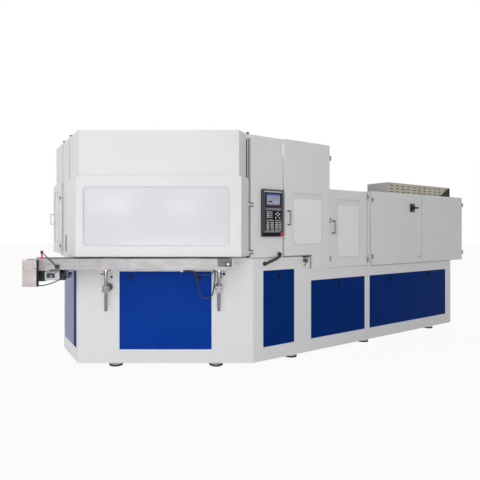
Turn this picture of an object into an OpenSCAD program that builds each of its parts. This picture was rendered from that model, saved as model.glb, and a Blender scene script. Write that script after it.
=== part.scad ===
// Injection blow moulding machine with three stations, sizes in millimetres.
// Plan axes while drawing: u runs along the bed, v runs into the machine, z is height above the base.

/* [Base] */
// Width of the base across the bed
base_w = 2400; // [2360:10:2500]
// Length of each slanted base face
bay_len = 1750; // [1730:5:1780]
// Length of the bed from the slanted corner to its end
bed_len = 3600; // [3560:10:3760]
// Height of the turret deck above the base bottom
deck_z = 1050; // [1040:1:1055]
// Height of the bed above the base bottom
bed_z = 900; // [890:1:905]
// Thickness of the base walls
wall = 30; // [26:1:40]
// Height of the levelling feet
foot_h = 50; // [40:1:70]
// Top edge of the tall service panels
panel_tall_z = 914; // [880:1:930]
// Top edge of the low service panels
panel_low_z = 774; // [740:1:800]

/* [Guard] */
// Top of the guard above the base bottom
guard_z = 2282; // [2250:2:2340]
// How far the front bay stands out from the slanted face
bay_out = 190; // [180:1:200]
// Underside of the bay doors
door_z0 = 1077; // [1074:1:1090]
// Height of the fixed panels above the bay doors
upper_h = 442; // [400:1:480]
// How far the doors stand out from the fixed panels
door_proud = 30; // [28:1:34]
// Sheet thickness of the guard panels
sheet = 5; // [4:0.5:6]
// Right end of the guard along the bed
guard_u = 1070; // [1066:1:1072]

/* [Windows] */
// Corner radius of the windows
window_r = 36; // [25:1:50]
// Thickness of the window panes
pane_t = 6; // [4:0.5:8]

/* [Cabinet] */
// Height of the cabinet top above the base bottom
cab_z = 1810; // [1790:1:1850]
// Right end of the cabinet along the bed
cab_u1 = 3856; // [3800:2:3900]
// Depth of the cabinet
cab_d = 444; // [400:2:480]
// Height of the slotted roof box
vent_h = 150; // [120:2:180]

/* [Conveyor] */
// Width of the conveyor over its rails
conv_w = 230; // [220:1:234]
// Top of the conveyor rails above the base bottom
conv_z = 1060; // [1050:1:1062]
// Height of the conveyor rails
rail_h = 100; // [96:1:110]
// Diameter of the conveyor rollers
roller_d = 80; // [74:1:82]
// Diameter of the support tubes
tube_d = 32; // [28:1:36]

/* [Turret and presses] */
// Turret axis along the bed
axis_u = -330; // [-336:1:-324]
// Pitch of the core rods
rod_pitch = 84; // [78:1:85]
// Diameter of the core rods
rod_d = 18; // [14:1:22]
// Height of the closed mould joint above the base bottom
joint_z = 1200; // [1198:1:1204]
// Lift of the turret while the moulds are open
lift = 45; // [45:1:48]
// Diameter of the press tie bars
tie_d = 60; // [50:1:64]
// Height of the barrel axis above the base bottom
barrel_z = 1150; // [1146:1:1154]

/* [Hidden] */
axis_v = base_w / 2;
left_u = -bay_len * cos(30);
bay_v = bay_len * sin(30);
left_len = base_w - 2 * bay_v;
front_half = bay_len / 2 - 416;
step_u = 790;
panel_z = 138;
door_z1 = guard_z - upper_h;
bay_hinge_z = [door_z0 + 33, door_z1 - 258];
left_hinge_z = [door_z0 + 83, door_z1 - 160];
side_hinge_z = [bed_z + 110, 1440, guard_z - 142];
seat = 0.05;
bay_x0 = 56 - bay_len;
bay_x1 = -160;
hinge_r = 8;
pin_r = 4;
fit = 0.05;
conv_x0 = -bay_len - 400;
conv_x1 = -196;
conv_y0 = -260;
drive_x = conv_x0 + 45;
idler_x = -271;
roller_z = conv_z - 50;
tube_x = [311 - bay_len, -348];
drive_shift = 1750 - bay_len;
tube_y = -145;
clamp_z = 761;
open_h = 2 * lift;
belt_t = 4;
belt_r = roller_d / 2 + 0.35;
cab_u0 = 1820;
cab_split = (cab_u0 + cab_u1) / 2;
left_face = fpt(bay_x0, -bay_out)[0];
mid_x = (fpt(conv_x0 - 20, -320)[0] + cab_u1 + 12) / 2;
mid_y = (fpt(conv_x1, conv_y0 - 4)[1] + base_w - fpt(bay_x1, -bay_out - door_proud)[1]) / 2;
$fn = 24;

function turn(p, a) = [p[0] * cos(a) - p[1] * sin(a), p[0] * sin(a) + p[1] * cos(a)];
function fpt(x, y) = turn([x, y], -30);
function side(a, b) = [(b[1] - a[1]) / norm(b - a), (a[0] - b[0]) / norm(b - a)];
function grown(pts, d) = [for (i = [0:len(pts) - 1])
    let (n = len(pts), b = pts[i], p = side(pts[(i + n - 1) % n], b), q = side(b, pts[(i + 1) % n]))
    b + d * (p + q) / (1 + p * q)];
function strip(pts, from, to, d0, d1) =
    let (p = grown(pts, d0), q = grown(pts, d1))
    concat([for (i = [from:to]) p[i]], [for (i = [to:-1:from]) q[i]]);

function short_strip(pts, from, to, d0, d1, cut) =
    let (p = grown(pts, d0), q = grown(pts, d1), e = cut * (p[to - 1] - p[to]) / norm(p[to - 1] - p[to]))
    concat([for (i = [from:to - 1]) p[i]], [p[to] + e, q[to] + e], [for (i = [to - 1:-1:from]) q[i]]);

function unit(v) = v / norm(v);
function heading(pts, i) = unit((i > 0 ? unit(pts[i] - pts[i - 1]) : [0, 0, 0])
    + (i < len(pts) - 1 ? unit(pts[i + 1] - pts[i]) : [0, 0, 0]));
function across(pts, i) = let (t = heading(pts, i), n = i == 0 ? cross(t, [0.3, 0.9, 0.2]) : across(pts, i - 1))
    unit(n - (n * t) * t);
function rear_band(d) =
    let (p = grown(guard_pts, door_proud), q = grown(guard_pts, d))
    [fpt(bay_x0 + 14, -bay_out - door_proud), p[6], p[7], q[7], q[6], fpt(bay_x0 + 14, -bay_out - d)];

base_pts = [[0, 0], [bed_len, 0], [bed_len, base_w], [0, base_w], [left_u, base_w - bay_v], [left_u, bay_v]];
deck_pts = [[0, 0], [step_u, 0], [step_u, base_w], [0, base_w], [left_u, base_w - bay_v], [left_u, bay_v]];
corner_a = fpt(bay_x0, -bay_out);
corner_b = fpt(bay_x1, -bay_out);
corner_c = [corner_b[0] - corner_b[1] * cos(30) / sin(30), 0];
guard_pts = [[guard_u, 0], [guard_u, base_w], [corner_c[0], base_w], [corner_b[0], base_w - corner_b[1]],
    [corner_a[0], base_w - corner_a[1]], corner_a, corner_b, corner_c];
post_v = axis_v - left_len * 0.2461538;
slot_half = 16;
left_v0 = base_w - post_v - slot_half + 12;
left_v1 = base_w - corner_a[1] + 8;
left_half = left_len * 0.3892308;
rod_spots = [[-44, 30, deck_z], [-44, base_w - 30, deck_z], [left_face + 16, post_v, deck_z + 24],
    [left_face + 16, base_w - post_v, deck_z + 24]];

module placed() {
    translate([-mid_x, -mid_y, foot_h])
        children();
}

module front() {
    rotate([0, 0, -30])
        children();
}

module left() {
    translate([left_u, base_w - bay_v, 0])
        rotate([0, 0, -90])
            children();
}

module rear() {
    translate([0, base_w, 0])
        mirror([0, 1, 0])
            children();
}

module station(a) {
    translate([axis_u, axis_v, 0])
        rotate([0, 0, a])
            children();
}

module block(lo, hi) {
    translate(lo)
        cube(hi - lo);
}

module out_disc(p, d, t) {
    translate(p)
        rotate([90, 0, 0])
            cylinder(d = d, h = t);
}

module rounded(lo, hi, r) {
    block([lo[0] + r, lo[1], lo[2]], [hi[0] - r, hi[1], hi[2]]);
    block([lo[0], lo[1], lo[2] + r], [hi[0], hi[1], hi[2] - r]);
    for (x = [lo[0] + r, hi[0] - r], z = [lo[2] + r, hi[2] - r])
        translate([x, lo[1], z])
            rotate([-90, 0, 0])
                cylinder(r = r, h = hi[1] - lo[1], $fn = 32);
}

module rod_between(a, b, d) {
    v = b - a;
    translate(a)
        rotate([0, acos(v[2] / norm(v)), atan2(v[1], v[0])])
            cylinder(d = d, h = norm(v), $fn = 16);
}

module cable(pts, d) {
    for (i = [0:len(pts) - 2])
        rod_between(pts[i], pts[i + 1], d);
    for (i = [1:len(pts) - 2])
        translate(pts[i])
            sphere(d = d + 0.8, $fn = 16);
}

module lead(pts, d) {
    last = len(pts) - 1;
    rings = [for (i = [0:last], k = [0:7]) pts[i] + d / 2 * (cos(45 * k) * across(pts, i)
        + sin(45 * k) * cross(heading(pts, i), across(pts, i)))];
    polyhedron(rings, concat(
        [[for (k = [0:7]) k]],
        [[for (k = [7:-1:0]) 8 * last + k]],
        [for (i = [0:last - 1], k = [0:7]) [8 * i + k, 8 * i + 8 + k, 8 * i + (k + 1) % 8]],
        [for (i = [0:last - 1], k = [0:7]) [8 * i + 8 + k, 8 * i + 8 + (k + 1) % 8, 8 * i + (k + 1) % 8]]));
}

module knuckles(z) {
    for (k = [z - 26, z + 10])
        translate([0, 0, k])
            cylinder(r = hinge_r, h = 16);
    translate([0, 0, z - 26])
        cylinder(r = pin_r, h = 52);
}

module door_knuckle(z) {
    difference() {
        union() {
            translate([0, 0, z - 9])
                cylinder(r = hinge_r, h = 18);
            children();
        }
        translate([0, 0, z - 20])
            cylinder(r = pin_r + fit, h = 40);
    }
}

module screws(x, z, y, dx, dz) {
    for (i = [-1, 1], k = [-1, 1])
        out_disc([x + i * dx, y, z + k * dz], 9, 2.5);
}

module bow_handle(x, y, z, len) {
    for (k = [z - len / 2 + 8, z + len / 2 - 8])
        out_disc([x, y, k], 16, 40);
    translate([x, y - 40, z - len / 2])
        cylinder(d = 16, h = len);
}

module panel_seat(x0, x1, z1) {
    block([x0 - 2, -1, panel_z - 2], [x1 + 2, 18, z1 + 2]);
    block([x0 + 28, -1, panel_z + 28], [x1 - 28, wall + 2, z1 - 28]);
}

module panel_tray(x0, x1, z1) {
    difference() {
        block([x0, -3, panel_z], [x1, 18, z1]);
        block([x0 + 18, 2, panel_z + 18], [x1 - 18, 19, z1 - 18]);
    }
}

module panel_seats() {
    front()
        panel_seat(-bay_len / 2 - front_half, -bay_len / 2 + front_half, panel_tall_z);
    panel_seat(133, 551, panel_tall_z);
    panel_seat(805, 1700, panel_low_z);
    panel_seat(1797, bed_len - 139, panel_low_z);
}

module base_frame() {
    color([0.9, 0.9, 0.91])
    placed() {
        difference() {
            union() {
                linear_extrude(bed_z)
                    polygon(base_pts);
                linear_extrude(deck_z)
                    polygon(deck_pts);
                station(0)
                    translate([0, 0, deck_z])
                        cylinder(d = 300, h = 40);
            }
            translate([0, 0, 20])
                linear_extrude(bed_z - 50)
                    polygon(grown(base_pts, -wall));
            translate([0, 0, 20])
                linear_extrude(deck_z - 60)
                    polygon(grown(deck_pts, -wall));
            panel_seats();
            rear()
                panel_seats();
            left()
                panel_seat(left_len / 2 - left_half, left_len / 2 + left_half, panel_tall_z);
            station(0)
                translate([0, 0, deck_z - 100])
                    cylinder(d = 181, h = 200);
        }
        for (s = [-180, 180])
            block([1120, axis_v + s - 30, bed_z], [bed_len - 340, axis_v + s + 30, bed_z + 40]);
    }
}

module foot() {
    translate([0, 0, -foot_h]) {
        cylinder(d = 140, h = 16);
        translate([0, 0, 16])
            cylinder(d = 124, h = 12);
        cylinder(d = 30, h = foot_h);
        translate([0, 0, foot_h - 14])
            cylinder(d = 52, h = 14, $fn = 6);
    }
}

module foot_row() {
    front()
        for (x = [-bay_len / 2 - front_half - 56, -bay_len / 2 + front_half + 51])
            translate([x, 110, 0])
                foot();
    for (u = [600, 1800, bed_len - 400])
        translate([u, 110, 0])
            foot();
}

module levelling_feet() {
    color([0.6, 0.6, 0.62])
    placed() {
        foot_row();
        rear()
            foot_row();
    }
}

module front_panel() {
    color([0.02, 0.1, 0.32])
    placed()
        front()
            panel_tray(-bay_len / 2 - front_half, -bay_len / 2 + front_half, panel_tall_z);
}

module left_panel() {
    color([0.02, 0.1, 0.32])
    placed()
        left()
            panel_tray(left_len / 2 - left_half, left_len / 2 + left_half, panel_tall_z);
}

module side_panel_narrow() {
    color([0.02, 0.1, 0.32])
    placed()
        panel_tray(133, 551, panel_tall_z);
}

module side_panel_middle() {
    color([0.02, 0.1, 0.32])
    placed()
        panel_tray(805, 1700, panel_low_z);
}

module side_panel_long() {
    color([0.02, 0.1, 0.32])
    placed()
        panel_tray(1797, bed_len - 139, panel_low_z);
}

module rear_panels() {
    color([0.02, 0.1, 0.32])
    placed()
        rear() {
            front()
                panel_tray(-bay_len / 2 - front_half, -bay_len / 2 + front_half, panel_tall_z);
            panel_tray(133, 551, panel_tall_z);
            panel_tray(805, 1700, panel_low_z);
            panel_tray(1797, bed_len - 139, panel_low_z);
        }
}

module lock(x, z) {
    out_disc([x, -3, z], 34, 7);
    out_disc([x, -10, z], 26, 8);
    block([x - 10, -16, z - 34], [x + 10, -10, z]);
    out_disc([x, -10, z - 34], 20, 6);
}

module side_locks() {
    lock(342, panel_tall_z - 48);
    lock(1252, panel_low_z - 45);
    lock(1797 + 421, panel_low_z - 45);
    lock(bed_len - 538, panel_low_z - 45);
    front() {
        lock(114 - bay_len / 2 - front_half, panel_tall_z - 44);
        lock(-124 - bay_len / 2 + front_half, panel_tall_z - 44);
    }
}

module panel_locks() {
    color([0.04, 0.04, 0.05])
    placed() {
        side_locks();
        rear()
            side_locks();
        left()
            lock(left_len / 2, panel_tall_z - 48);
    }
}

module power_pack() {
    color([0.25, 0.3, 0.35])
    placed()
        translate([bed_len - 1700, 0, 0]) {
            block([0, axis_v - 450, 20], [1300, axis_v + 450, 440]);
            block([150, axis_v - 130, 440], [550, axis_v + 130, 470]);
            translate([160, axis_v, 590])
                rotate([0, 90, 0])
                    cylinder(d = 250, h = 380);
            translate([540, axis_v, 590])
                rotate([0, 90, 0])
                    cylinder(d = 140, h = 200);
            translate([1000, axis_v + 200, 440])
                cylinder(d = 120, h = 160);
        }
}

module guard_frame() {
    color([0.88, 0.88, 0.89])
    placed()
        difference() {
            union() {
                translate([0, 0, guard_z - 40])
                    linear_extrude(40)
                        difference() {
                            polygon(grown(guard_pts, -sheet - 2 * seat));
                            polygon(grown(guard_pts, -sheet - 40));
                        }
                for (v = [post_v + slot_half + 4, base_w - post_v - slot_half - 44])
                    block([left_face + sheet, v, deck_z], [left_face + sheet + 60, v + 40, guard_z - 40]);
                block([left_face, post_v + slot_half, deck_z - 10],
                    [left_face + sheet, base_w - post_v - slot_half, guard_z]);
                block([left_face + sheet, bay_v + 10, deck_z + seat],
                    [left_face + sheet + 85, base_w - bay_v - 10, deck_z + 24]);
                half_guard_frame();
                rear()
                    half_guard_frame();
                difference() {
                    block([guard_u - sheet - 2, sheet + seat, bed_z + seat], [guard_u, base_w - sheet - seat, guard_z]);
                    block([guard_u - 40, axis_v - 200, bed_z + 60], [guard_u + 10, axis_v + 200, 1340]);
                }
                for (z = left_hinge_z)
                    translate([left_face - door_proud - 2, base_w - post_v - slot_half + 2, 0]) {
                        knuckles(z);
                        for (k = [z - 26, z + 10])
                            block([-4, -12, k], [door_proud + 3, 0, k + 16]);
                    }
                for (z = [974, 1735])
                    translate([1752, -9, 0]) {
                        knuckles(z);
                        for (k = [z - 26, z + 10])
                            block([0, -4, k], [24, 10, k + 16]);
                    }
                for (z = side_hinge_z)
                    translate([guard_u + 4, -door_proud, 0]) {
                        knuckles(z);
                        for (k = [z - 26, z + 10])
                            block([2, -4, k], [10, door_proud + 4, k + 16]);
                    }
                block([1752, 0, bed_z], [1800, 46, 1800]);
                block([guard_u, 0, bed_z], [guard_u + 22, 46, 1800]);
                block([guard_u, 30, 1756], [1760, 46, 1796]);
                block([guard_u - 1, sheet, 1790], [guard_u + 14, 24, guard_z]);
                block([guard_u + 2, 0, guard_z - 182], [guard_u + 14, 20, guard_z - 102]);
            }
            for (p = rod_spots)
                translate([p[0], p[1], guard_z - 60])
                    cylinder(d = 28, h = 80);
        }
}

module half_guard_frame() {
    block([-20, sheet + seat, deck_z + seat], [24, 45, guard_z - 40]);
    block([guard_u - 44, sheet + seat, bed_z + seat], [guard_u, 45, guard_z - 40]);
}

module guide_rod(p) {
    translate([p[0], p[1], 0]) {
        translate([0, 0, p[2]])
            cylinder(d = 16, h = guard_z + 14 - p[2]);
        translate([0, 0, guard_z + 6])
            cylinder(d = 26, h = 20);
        translate([0, 0, p[2]])
            cylinder(d = 26, h = 18);
    }
}

module corner_rods() {
    color([0.82, 0.83, 0.85])
    placed()
        for (p = rod_spots)
            guide_rod(p);
}

module upper_bay() {
    translate([0, 0, door_z1 + 2])
        linear_extrude(guard_z - door_z1 - 2)
            difference() {
                polygon(strip(guard_pts, 5, 7, 0, -sheet));
                translate([-64, -20])
                    square([100, 60]);
            }
    block([left_face, corner_a[1] - 3, door_z1 + 2], [left_face + sheet, post_v - slot_half, guard_z]);
    translate([0, 0, door_z1 + 2])
        linear_extrude(sheet)
            difference() {
                polygon(strip(guard_pts, 5, 7, 0, -40));
                translate([-64, -20])
                    square([100, 60]);
            }
}

module front_upper_panel() {
    color([0.9, 0.9, 0.91])
    placed()
        upper_bay();
}

module bay_hinge_seats() {
    for (z = bay_hinge_z)
        translate([-50, -22, 0]) {
            knuckles(z);
            block([11, 8, z - 26], [46, 22, z + 26]);
            for (k = [z - 26, z + 10])
                block([0, 0, k], [14, 22, k + 16]);
            screws(28, z, 8, 9, 14);
        }
}

module control_side_panel() {
    color([0.88, 0.88, 0.9])
    placed() {
        difference() {
            union() {
                block([-28, 0, deck_z], [392, sheet, guard_z]);
                block([387, 0, deck_z], [392, 40, guard_z - 40]);
            }
            block([150, -1, 1320], [320, sheet + 1, 1680]);
        }
        bay_hinge_seats();
    }
}

module rear_covers() {
    color([0.88, 0.88, 0.9])
    placed()
        rear() {
            upper_bay();
            block([-28, 0, deck_z], [step_u, sheet, guard_z]);
            block([step_u, 0, bed_z], [guard_u, sheet, guard_z]);
            bay_hinge_seats();
            difference() {
                block([guard_u + 2, 0, bed_z], [bed_len, 36, 1796]);
                block([guard_u + 8, sheet, bed_z - 1], [bed_len - 6, 37, 1790]);
            }
        }
}

module bay_window_cut(grow, y0, y1) {
    front()
        rounded([bay_x0 + 53 - grow, y0, 1180 - grow], [bay_x1 - 94 + grow, y1, door_z1 - 100 + grow], window_r);
}

module bay_skin(from) {
    out = door_proud;
    translate([0, 0, door_z0])
        linear_extrude(door_z1 - door_z0)
            polygon(strip(guard_pts, from, 7, out, out - sheet));
    for (z = [door_z0, door_z1 - sheet])
        translate([0, 0, z])
            linear_extrude(sheet)
                polygon(short_strip(guard_pts, from, 7, out, 3, 4));
}

module bay_hinge_end() {
    block([-68, -40, door_z0 - 1], [20, 60, door_z1 + 1]);
}

module bay_door_leaf() {
    for (z = bay_hinge_z)
        translate([-50, -22, 0])
            door_knuckle(z)
                block([-34, -hinge_r, z - 9], [0, -hinge_r + sheet, z + 9]);
}

module front_door() {
    color([0.91, 0.91, 0.92])
    placed() {
        difference() {
            union() {
                bay_skin(5);
                block([left_face - door_proud, corner_a[1] - 20, door_z0],
                    [left_face - door_proud + sheet, post_v - 10, door_z1]);
                for (z = [door_z0, door_z1 - sheet])
                    block([left_face - door_proud, corner_a[1], z], [left_face - 3, post_v - 10, z + sheet]);
                block([left_face - door_proud, post_v - 10 - sheet, door_z0], [left_face - 3, post_v - 10, door_z1]);
            }
            bay_hinge_end();
            bay_window_cut(0, -bay_out - door_proud - 5, -bay_out - door_proud + sheet + 5);
        }
        bay_door_leaf();
    }
}

module front_window() {
    color([0.85, 0.87, 0.9, 0.6])
    placed()
        bay_window_cut(24, -bay_out - door_proud + sheet + seat, -bay_out - door_proud + sheet + pane_t);
}

module front_latch() {
    color([0.1, 0.1, 0.11])
    placed() {
        block([left_face - 34, post_v + 24, 1112], [left_face, post_v + 46, 1276]);
        block([left_face - 28, post_v - 6, 1130], [left_face - 6, post_v + 24, 1258]);
    }
}

module left_door() {
    v0 = left_v0;
    v1 = left_v1;
    x0 = left_face - door_proud;
    color([0.91, 0.91, 0.92])
    placed() {
        difference() {
            block([x0, v0, door_z0], [x0 + 26, v1, door_z1]);
            block([x0 + sheet, v0 + sheet, door_z0 + sheet], [x0 + 27, v1 - sheet, door_z1 - sheet]);
            left_window_cut(0, -5, sheet + 5);
        }
        for (z = left_hinge_z)
            translate([x0 - 2, v0 - 10, 0])
                door_knuckle(z)
                    block([-6, 0, z - 9], [2, 34, z + 9]);
        translate([x0, v1 - 34, 0])
            rotate([0, 0, -90])
                bow_handle(0, 0, 1457, 130);
    }
}

module left_window_cut(grow, y0, y1) {
    translate([left_face - door_proud, base_w - corner_a[1] - 50, 0])
        rotate([0, 0, -90])
            rounded([-10 - grow, y0, 1205 - grow], [left_v1 - left_v0 - 151.5 + grow, y1, door_z1 - 83 + grow], window_r);
}

module left_window() {
    color([0.85, 0.87, 0.9, 0.6])
    placed()
        left_window_cut(16, sheet, sheet + pane_t);
}

module rear_door() {
    color([0.91, 0.91, 0.92])
    placed()
        rear() {
            difference() {
                union() {
                    translate([0, 0, door_z0])
                        linear_extrude(door_z1 - door_z0)
                            polygon(rear_band(door_proud - sheet));
                    for (z = [door_z0, door_z1 - sheet])
                        translate([0, 0, z])
                            linear_extrude(sheet)
                                polygon(rear_band(3));
                }
                bay_window_cut(0, -bay_out - door_proud - 5, -bay_out - door_proud + sheet + 5);
            }
            bay_door_leaf();
            front()
                bow_handle(bay_x0 + 34, 1 - bay_out - door_proud, 1457, 130);
        }
}

module rear_window() {
    color([0.85, 0.87, 0.9, 0.6])
    placed()
        rear()
            bay_window_cut(24, -bay_out - door_proud + sheet + seat, -bay_out - door_proud + sheet + pane_t);
}

module side_door() {
    y0 = -door_proud + 2;
    color([0.88, 0.88, 0.9])
    placed() {
        difference() {
            union() {
                block([400, y0, deck_z + 10], [guard_u - 6, -2, guard_z]);
                block([800, y0, bed_z + 3], [guard_u - 6, -2, deck_z + 20]);
            }
            block([400 + sheet, y0 + sheet, deck_z + 10 + sheet], [guard_u - 6 - sheet, 0, guard_z - sheet]);
            block([800 + sheet, y0 + sheet, bed_z + 3 + sheet], [guard_u - 6 - sheet, 0, deck_z + 30]);
            rounded([511, y0 - 5, 1174], [949, y0 + sheet + 5, 1727], window_r);
        }
        for (z = side_hinge_z)
            translate([guard_u + 4, -door_proud, 0])
                door_knuckle(z)
                    block([-34, -4, z - 9], [0, 2, z + 9]);
    }
}

module side_window() {
    y0 = -door_proud + 2 + sheet;
    color([0.85, 0.87, 0.9, 0.6])
    placed()
        rounded([490, y0, 1153], [970, y0 + pane_t, 1748], window_r);
}

module side_handle() {
    color([0.5, 0.5, 0.52])
    placed()
        bow_handle(438, -door_proud + 2, 1457, 158);
}

module barrel_door() {
    color([0.88, 0.88, 0.9])
    placed() {
        difference() {
            block([1096, 0, bed_z + 4], [1742, 26, 1796]);
            block([1096 + sheet, sheet, bed_z + 4 + sheet], [1742 - sheet, 27, 1796 - sheet]);
            rounded([1221, -5, 1013], [1613, sheet + 5, 1688], window_r);
        }
        for (z = [974, 1735])
            translate([1752, -9, 0])
                door_knuckle(z)
                    block([-40, 3, z - 9], [0, 9, z + 9]);
    }
}

module barrel_window() {
    color([0.85, 0.87, 0.9, 0.6])
    placed()
        rounded([1200, sheet, 992], [1634, sheet + pane_t, 1709], window_r);
}

module barrel_handle() {
    color([0.5, 0.5, 0.52])
    placed()
        bow_handle(1144, 0, 1366, 153);
}

module cabinet_body() {
    color([0.87, 0.87, 0.89])
    placed() {
        difference() {
            block([cab_u0, -4, bed_z], [cab_u1, cab_d, cab_z]);
            block([cab_u0 + 20, -5, bed_z + 20], [cab_u1 - 20, cab_d - 12, cab_z - 20]);
        }
        block([cab_u0 + 80, cab_d - 40, bed_z + 80], [cab_u1 - 80, cab_d - 12, cab_z - 80]);
        for (z = [1080, 1300, 1520])
            for (k = [0:8])
                block([cab_u0 + 160 + k * 200, cab_d - 150, z], [cab_u0 + 280 + k * 200, cab_d - 40, z + 120]);
        for (z = [1010, 1700]) {
            translate([cab_u0 - 7, -32, 0]) {
                knuckles(z);
                for (k = [z - 26, z + 10])
                    block([-4, 0, k], [4, 40, k + 16]);
                block([-4, 30, z - 26], [10, 40, z + 26]);
            }
            translate([cab_u1 + 7, -32, 0]) {
                knuckles(z);
                for (k = [z - 26, z + 10])
                    block([-4, 0, k], [4, 40, k + 16]);
                block([-10, 30, z - 26], [4, 40, z + 26]);
            }
        }
    }
}

module cabinet_door(u0, u1) {
    difference() {
        block([u0, -28, bed_z + 2], [u1, -5, cab_z - 2]);
        block([u0 + sheet, -28 + sheet, bed_z + 2 + sheet], [u1 - sheet, 0, cab_z - 2 - sheet]);
    }
}

module cabinet_door_left() {
    color([0.87, 0.87, 0.89])
    placed() {
        difference() {
            cabinet_door(cab_u0 + 2, cab_split - 1.5);
            out_disc([2623, -15, 1625], 21, 20);
        }
        for (z = [1010, 1700])
            translate([cab_u0 - 7, -32, 0])
                door_knuckle(z)
                    block([0, -1, z - 9], [34, 5, z + 9]);
        out_disc([cab_split - 68, -28, 983], 26, 9);
    }
}

module cabinet_door_right() {
    color([0.87, 0.87, 0.89])
    placed() {
        cabinet_door(cab_split + 1.5, cab_u1 - 2);
        for (z = [1010, 1700])
            translate([cab_u1 + 7, -32, 0])
                door_knuckle(z)
                    block([-34, -1, z - 9], [0, 5, z + 9]);
    }
}

module main_switch_plate() {
    color([0.05, 0.05, 0.05])
    placed()
        difference() {
            block([2578, -38, 1570], [2668, -28, 1680]);
            out_disc([2623, -15, 1625], 21, 30);
        }
}

module main_switch_knob() {
    color([0.05, 0.05, 0.05])
    placed() {
        out_disc([2623, -20, 1625], 20, 40);
        out_disc([2623, -39, 1625], 64, 18);
        block([2613, -74, 1613], [2696, -56, 1637]);
    }
}

module roof_vent_box() {
    color([0.72, 0.7, 0.66])
    placed()
        difference() {
            block([2290, 100, cab_z], [3760, 400, cab_z + vent_h]);
            block([2294, 104, cab_z - 1], [3756, 396, cab_z + vent_h - 4]);
            for (k = [0:10])
                for (j = [0:2])
                    block([2350 + k * 125, 95, cab_z + 28 + j * 40], [2412 + k * 125, 110, cab_z + 38 + j * 40]);
        }
}

module control_housing() {
    color([0.16, 0.17, 0.18])
    placed()
        difference() {
            union() {
                rounded([100, -30, 1262], [376, 0, 1744], 8);
                block([154, 0, 1324], [316, 60, 1676]);
            }
            block([118, -31, 1495], [358, -26, 1728]);
            block([118, -31, 1302], [358, -26, 1488]);
            out_disc([344, -4, 1284], 17, 40);
        }
}

module control_screen() {
    color([0.1, 0.2, 0.5])
    placed() {
        block([119, -27, 1496], [357, -26, 1727]);
        block([135, -28.5, 1515], [341, -27, 1712]);
    }
}

module control_keypad() {
    color([0.3, 0.31, 0.33])
    placed() {
        block([119, -28, 1303], [357, -26, 1487]);
        for (i = [0:3], k = [0:3])
            block([130 + i * 21, -29.5, 1400 + k * 20], [146 + i * 21, -28, 1415 + k * 20]);
        for (p = [[0, 0], [-1, 0], [1, 0], [0, -1], [0, 1]])
            block([278 + p[0] * 22, -29.5, 1424 + p[1] * 20], [294 + p[0] * 22, -28, 1439 + p[1] * 20]);
        for (i = [0:7], k = [0:2])
            block([130 + i * 28, -29.5, 1316 + k * 24], [150 + i * 28, -28, 1332 + k * 24]);
    }
}

module emergency_stop() {
    color([0.75, 0.03, 0.03])
    placed() {
        out_disc([344, -14, 1284], 16.9, 30);
        out_disc([344, -42, 1284], 34, 12);
    }
}

module rail(y) {
    difference() {
        block([conv_x0, y, conv_z - rail_h], [conv_x1, y + 6, conv_z]);
        for (x = [drive_x, idler_x])
            translate([x, y - 1, roller_z])
                rotate([-90, 0, 0])
                    cylinder(d = 20 + 2 * fit, h = 8);
        block([conv_x0 + 943, y - 1, conv_z - rail_h - 1], [conv_x0 + 945, y + 2, conv_z + 1]);
    }
}

module conveyor_frame() {
    y1 = conv_y0 + conv_w;
    color([0.7, 0.7, 0.71])
    placed()
        front() {
            rail(conv_y0);
            rail(y1 - 6);
            block([drive_x + 50, conv_y0 + 6, roller_z + roller_d / 2 - 6],
                [idler_x - 50, y1 - 6, roller_z + roller_d / 2]);
            for (x = [conv_x0 + 250, tube_x[0], -900, tube_x[1]])
                block([x - 45, conv_y0 + 6, roller_z - 20], [x + 25, y1 - 6, roller_z + 10]);
            for (x = [conv_x0 + 170, tube_x[0], tube_x[1]])
                for (y = [conv_y0 + 6, y1 - 14])
                    block([x - 45, y, conv_z - rail_h], [x + 25, y + 8, roller_z - 20]);
            difference() {
                block([idler_x - 31, conv_y0 - 4, roller_z - 21], [idler_x + 31, conv_y0, roller_z + 21]);
                out_disc([idler_x, conv_y0 + 1, roller_z], 20 + 2 * fit, 6);
            }
            screws(idler_x, roller_z, conv_y0 - 4, 22, 13);
            out_disc([idler_x - 52, conv_y0, roller_z], 14, 6);
            for (x = tube_x)
                block([x - 45, conv_y0, conv_z - rail_h - 10], [x + 45, y1, conv_z - rail_h]);
            block([conv_x0 + 65, conv_y0, conv_z - rail_h - 10], [conv_x0 + 215, y1, conv_z - rail_h]);
            block([-716, conv_y0, conv_z - rail_h - 24], [-690, conv_y0 + 22, conv_z - rail_h]);
        }
}

module loop_shape(r, w) {
    for (x = [drive_x, idler_x])
        translate([x, w / 2, roller_z])
            rotate([90, 0, 0])
                cylinder(r = r, h = w, $fn = 40);
    block([drive_x, -w / 2, roller_z - r], [idler_x, w / 2, roller_z + r]);
}

module conveyor_belt() {
    color([0.1, 0.12, 0.12])
    placed()
        front()
            translate([0, conv_y0 + conv_w / 2, 0])
                difference() {
                    loop_shape(belt_r + belt_t, 200);
                    loop_shape(belt_r, 220);
                }
}

module roller(x) {
    translate([x, conv_y0 + conv_w / 2, roller_z])
        rotate([90, 0, 0]) {
            cylinder(d = roller_d, h = 196, center = true, $fn = 40);
            cylinder(d = 20, h = conv_w + 2, center = true);
        }
}

module drive_roller() {
    color([0.6, 0.6, 0.62])
    placed()
        front()
            roller(drive_x);
}

module idler_roller() {
    color([0.6, 0.6, 0.62])
    placed()
        front()
            roller(idler_x);
}

module drive_end() {
    translate([drive_shift, 0, 0])
        children();
}

module drive_guard() {
    color([0.7, 0.7, 0.71])
    placed()
        front()
            drive_end() {
                difference() {
                    block([-2170, -320, 804], [-2040, conv_y0, 1052]);
                    block([-2166, -317, 808], [-2044, conv_y0 + 1, 1048]);
                }
                for (x = [-2158, -2052])
                    out_disc([x, -320, 974], 10, 3);
            }
}

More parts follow.
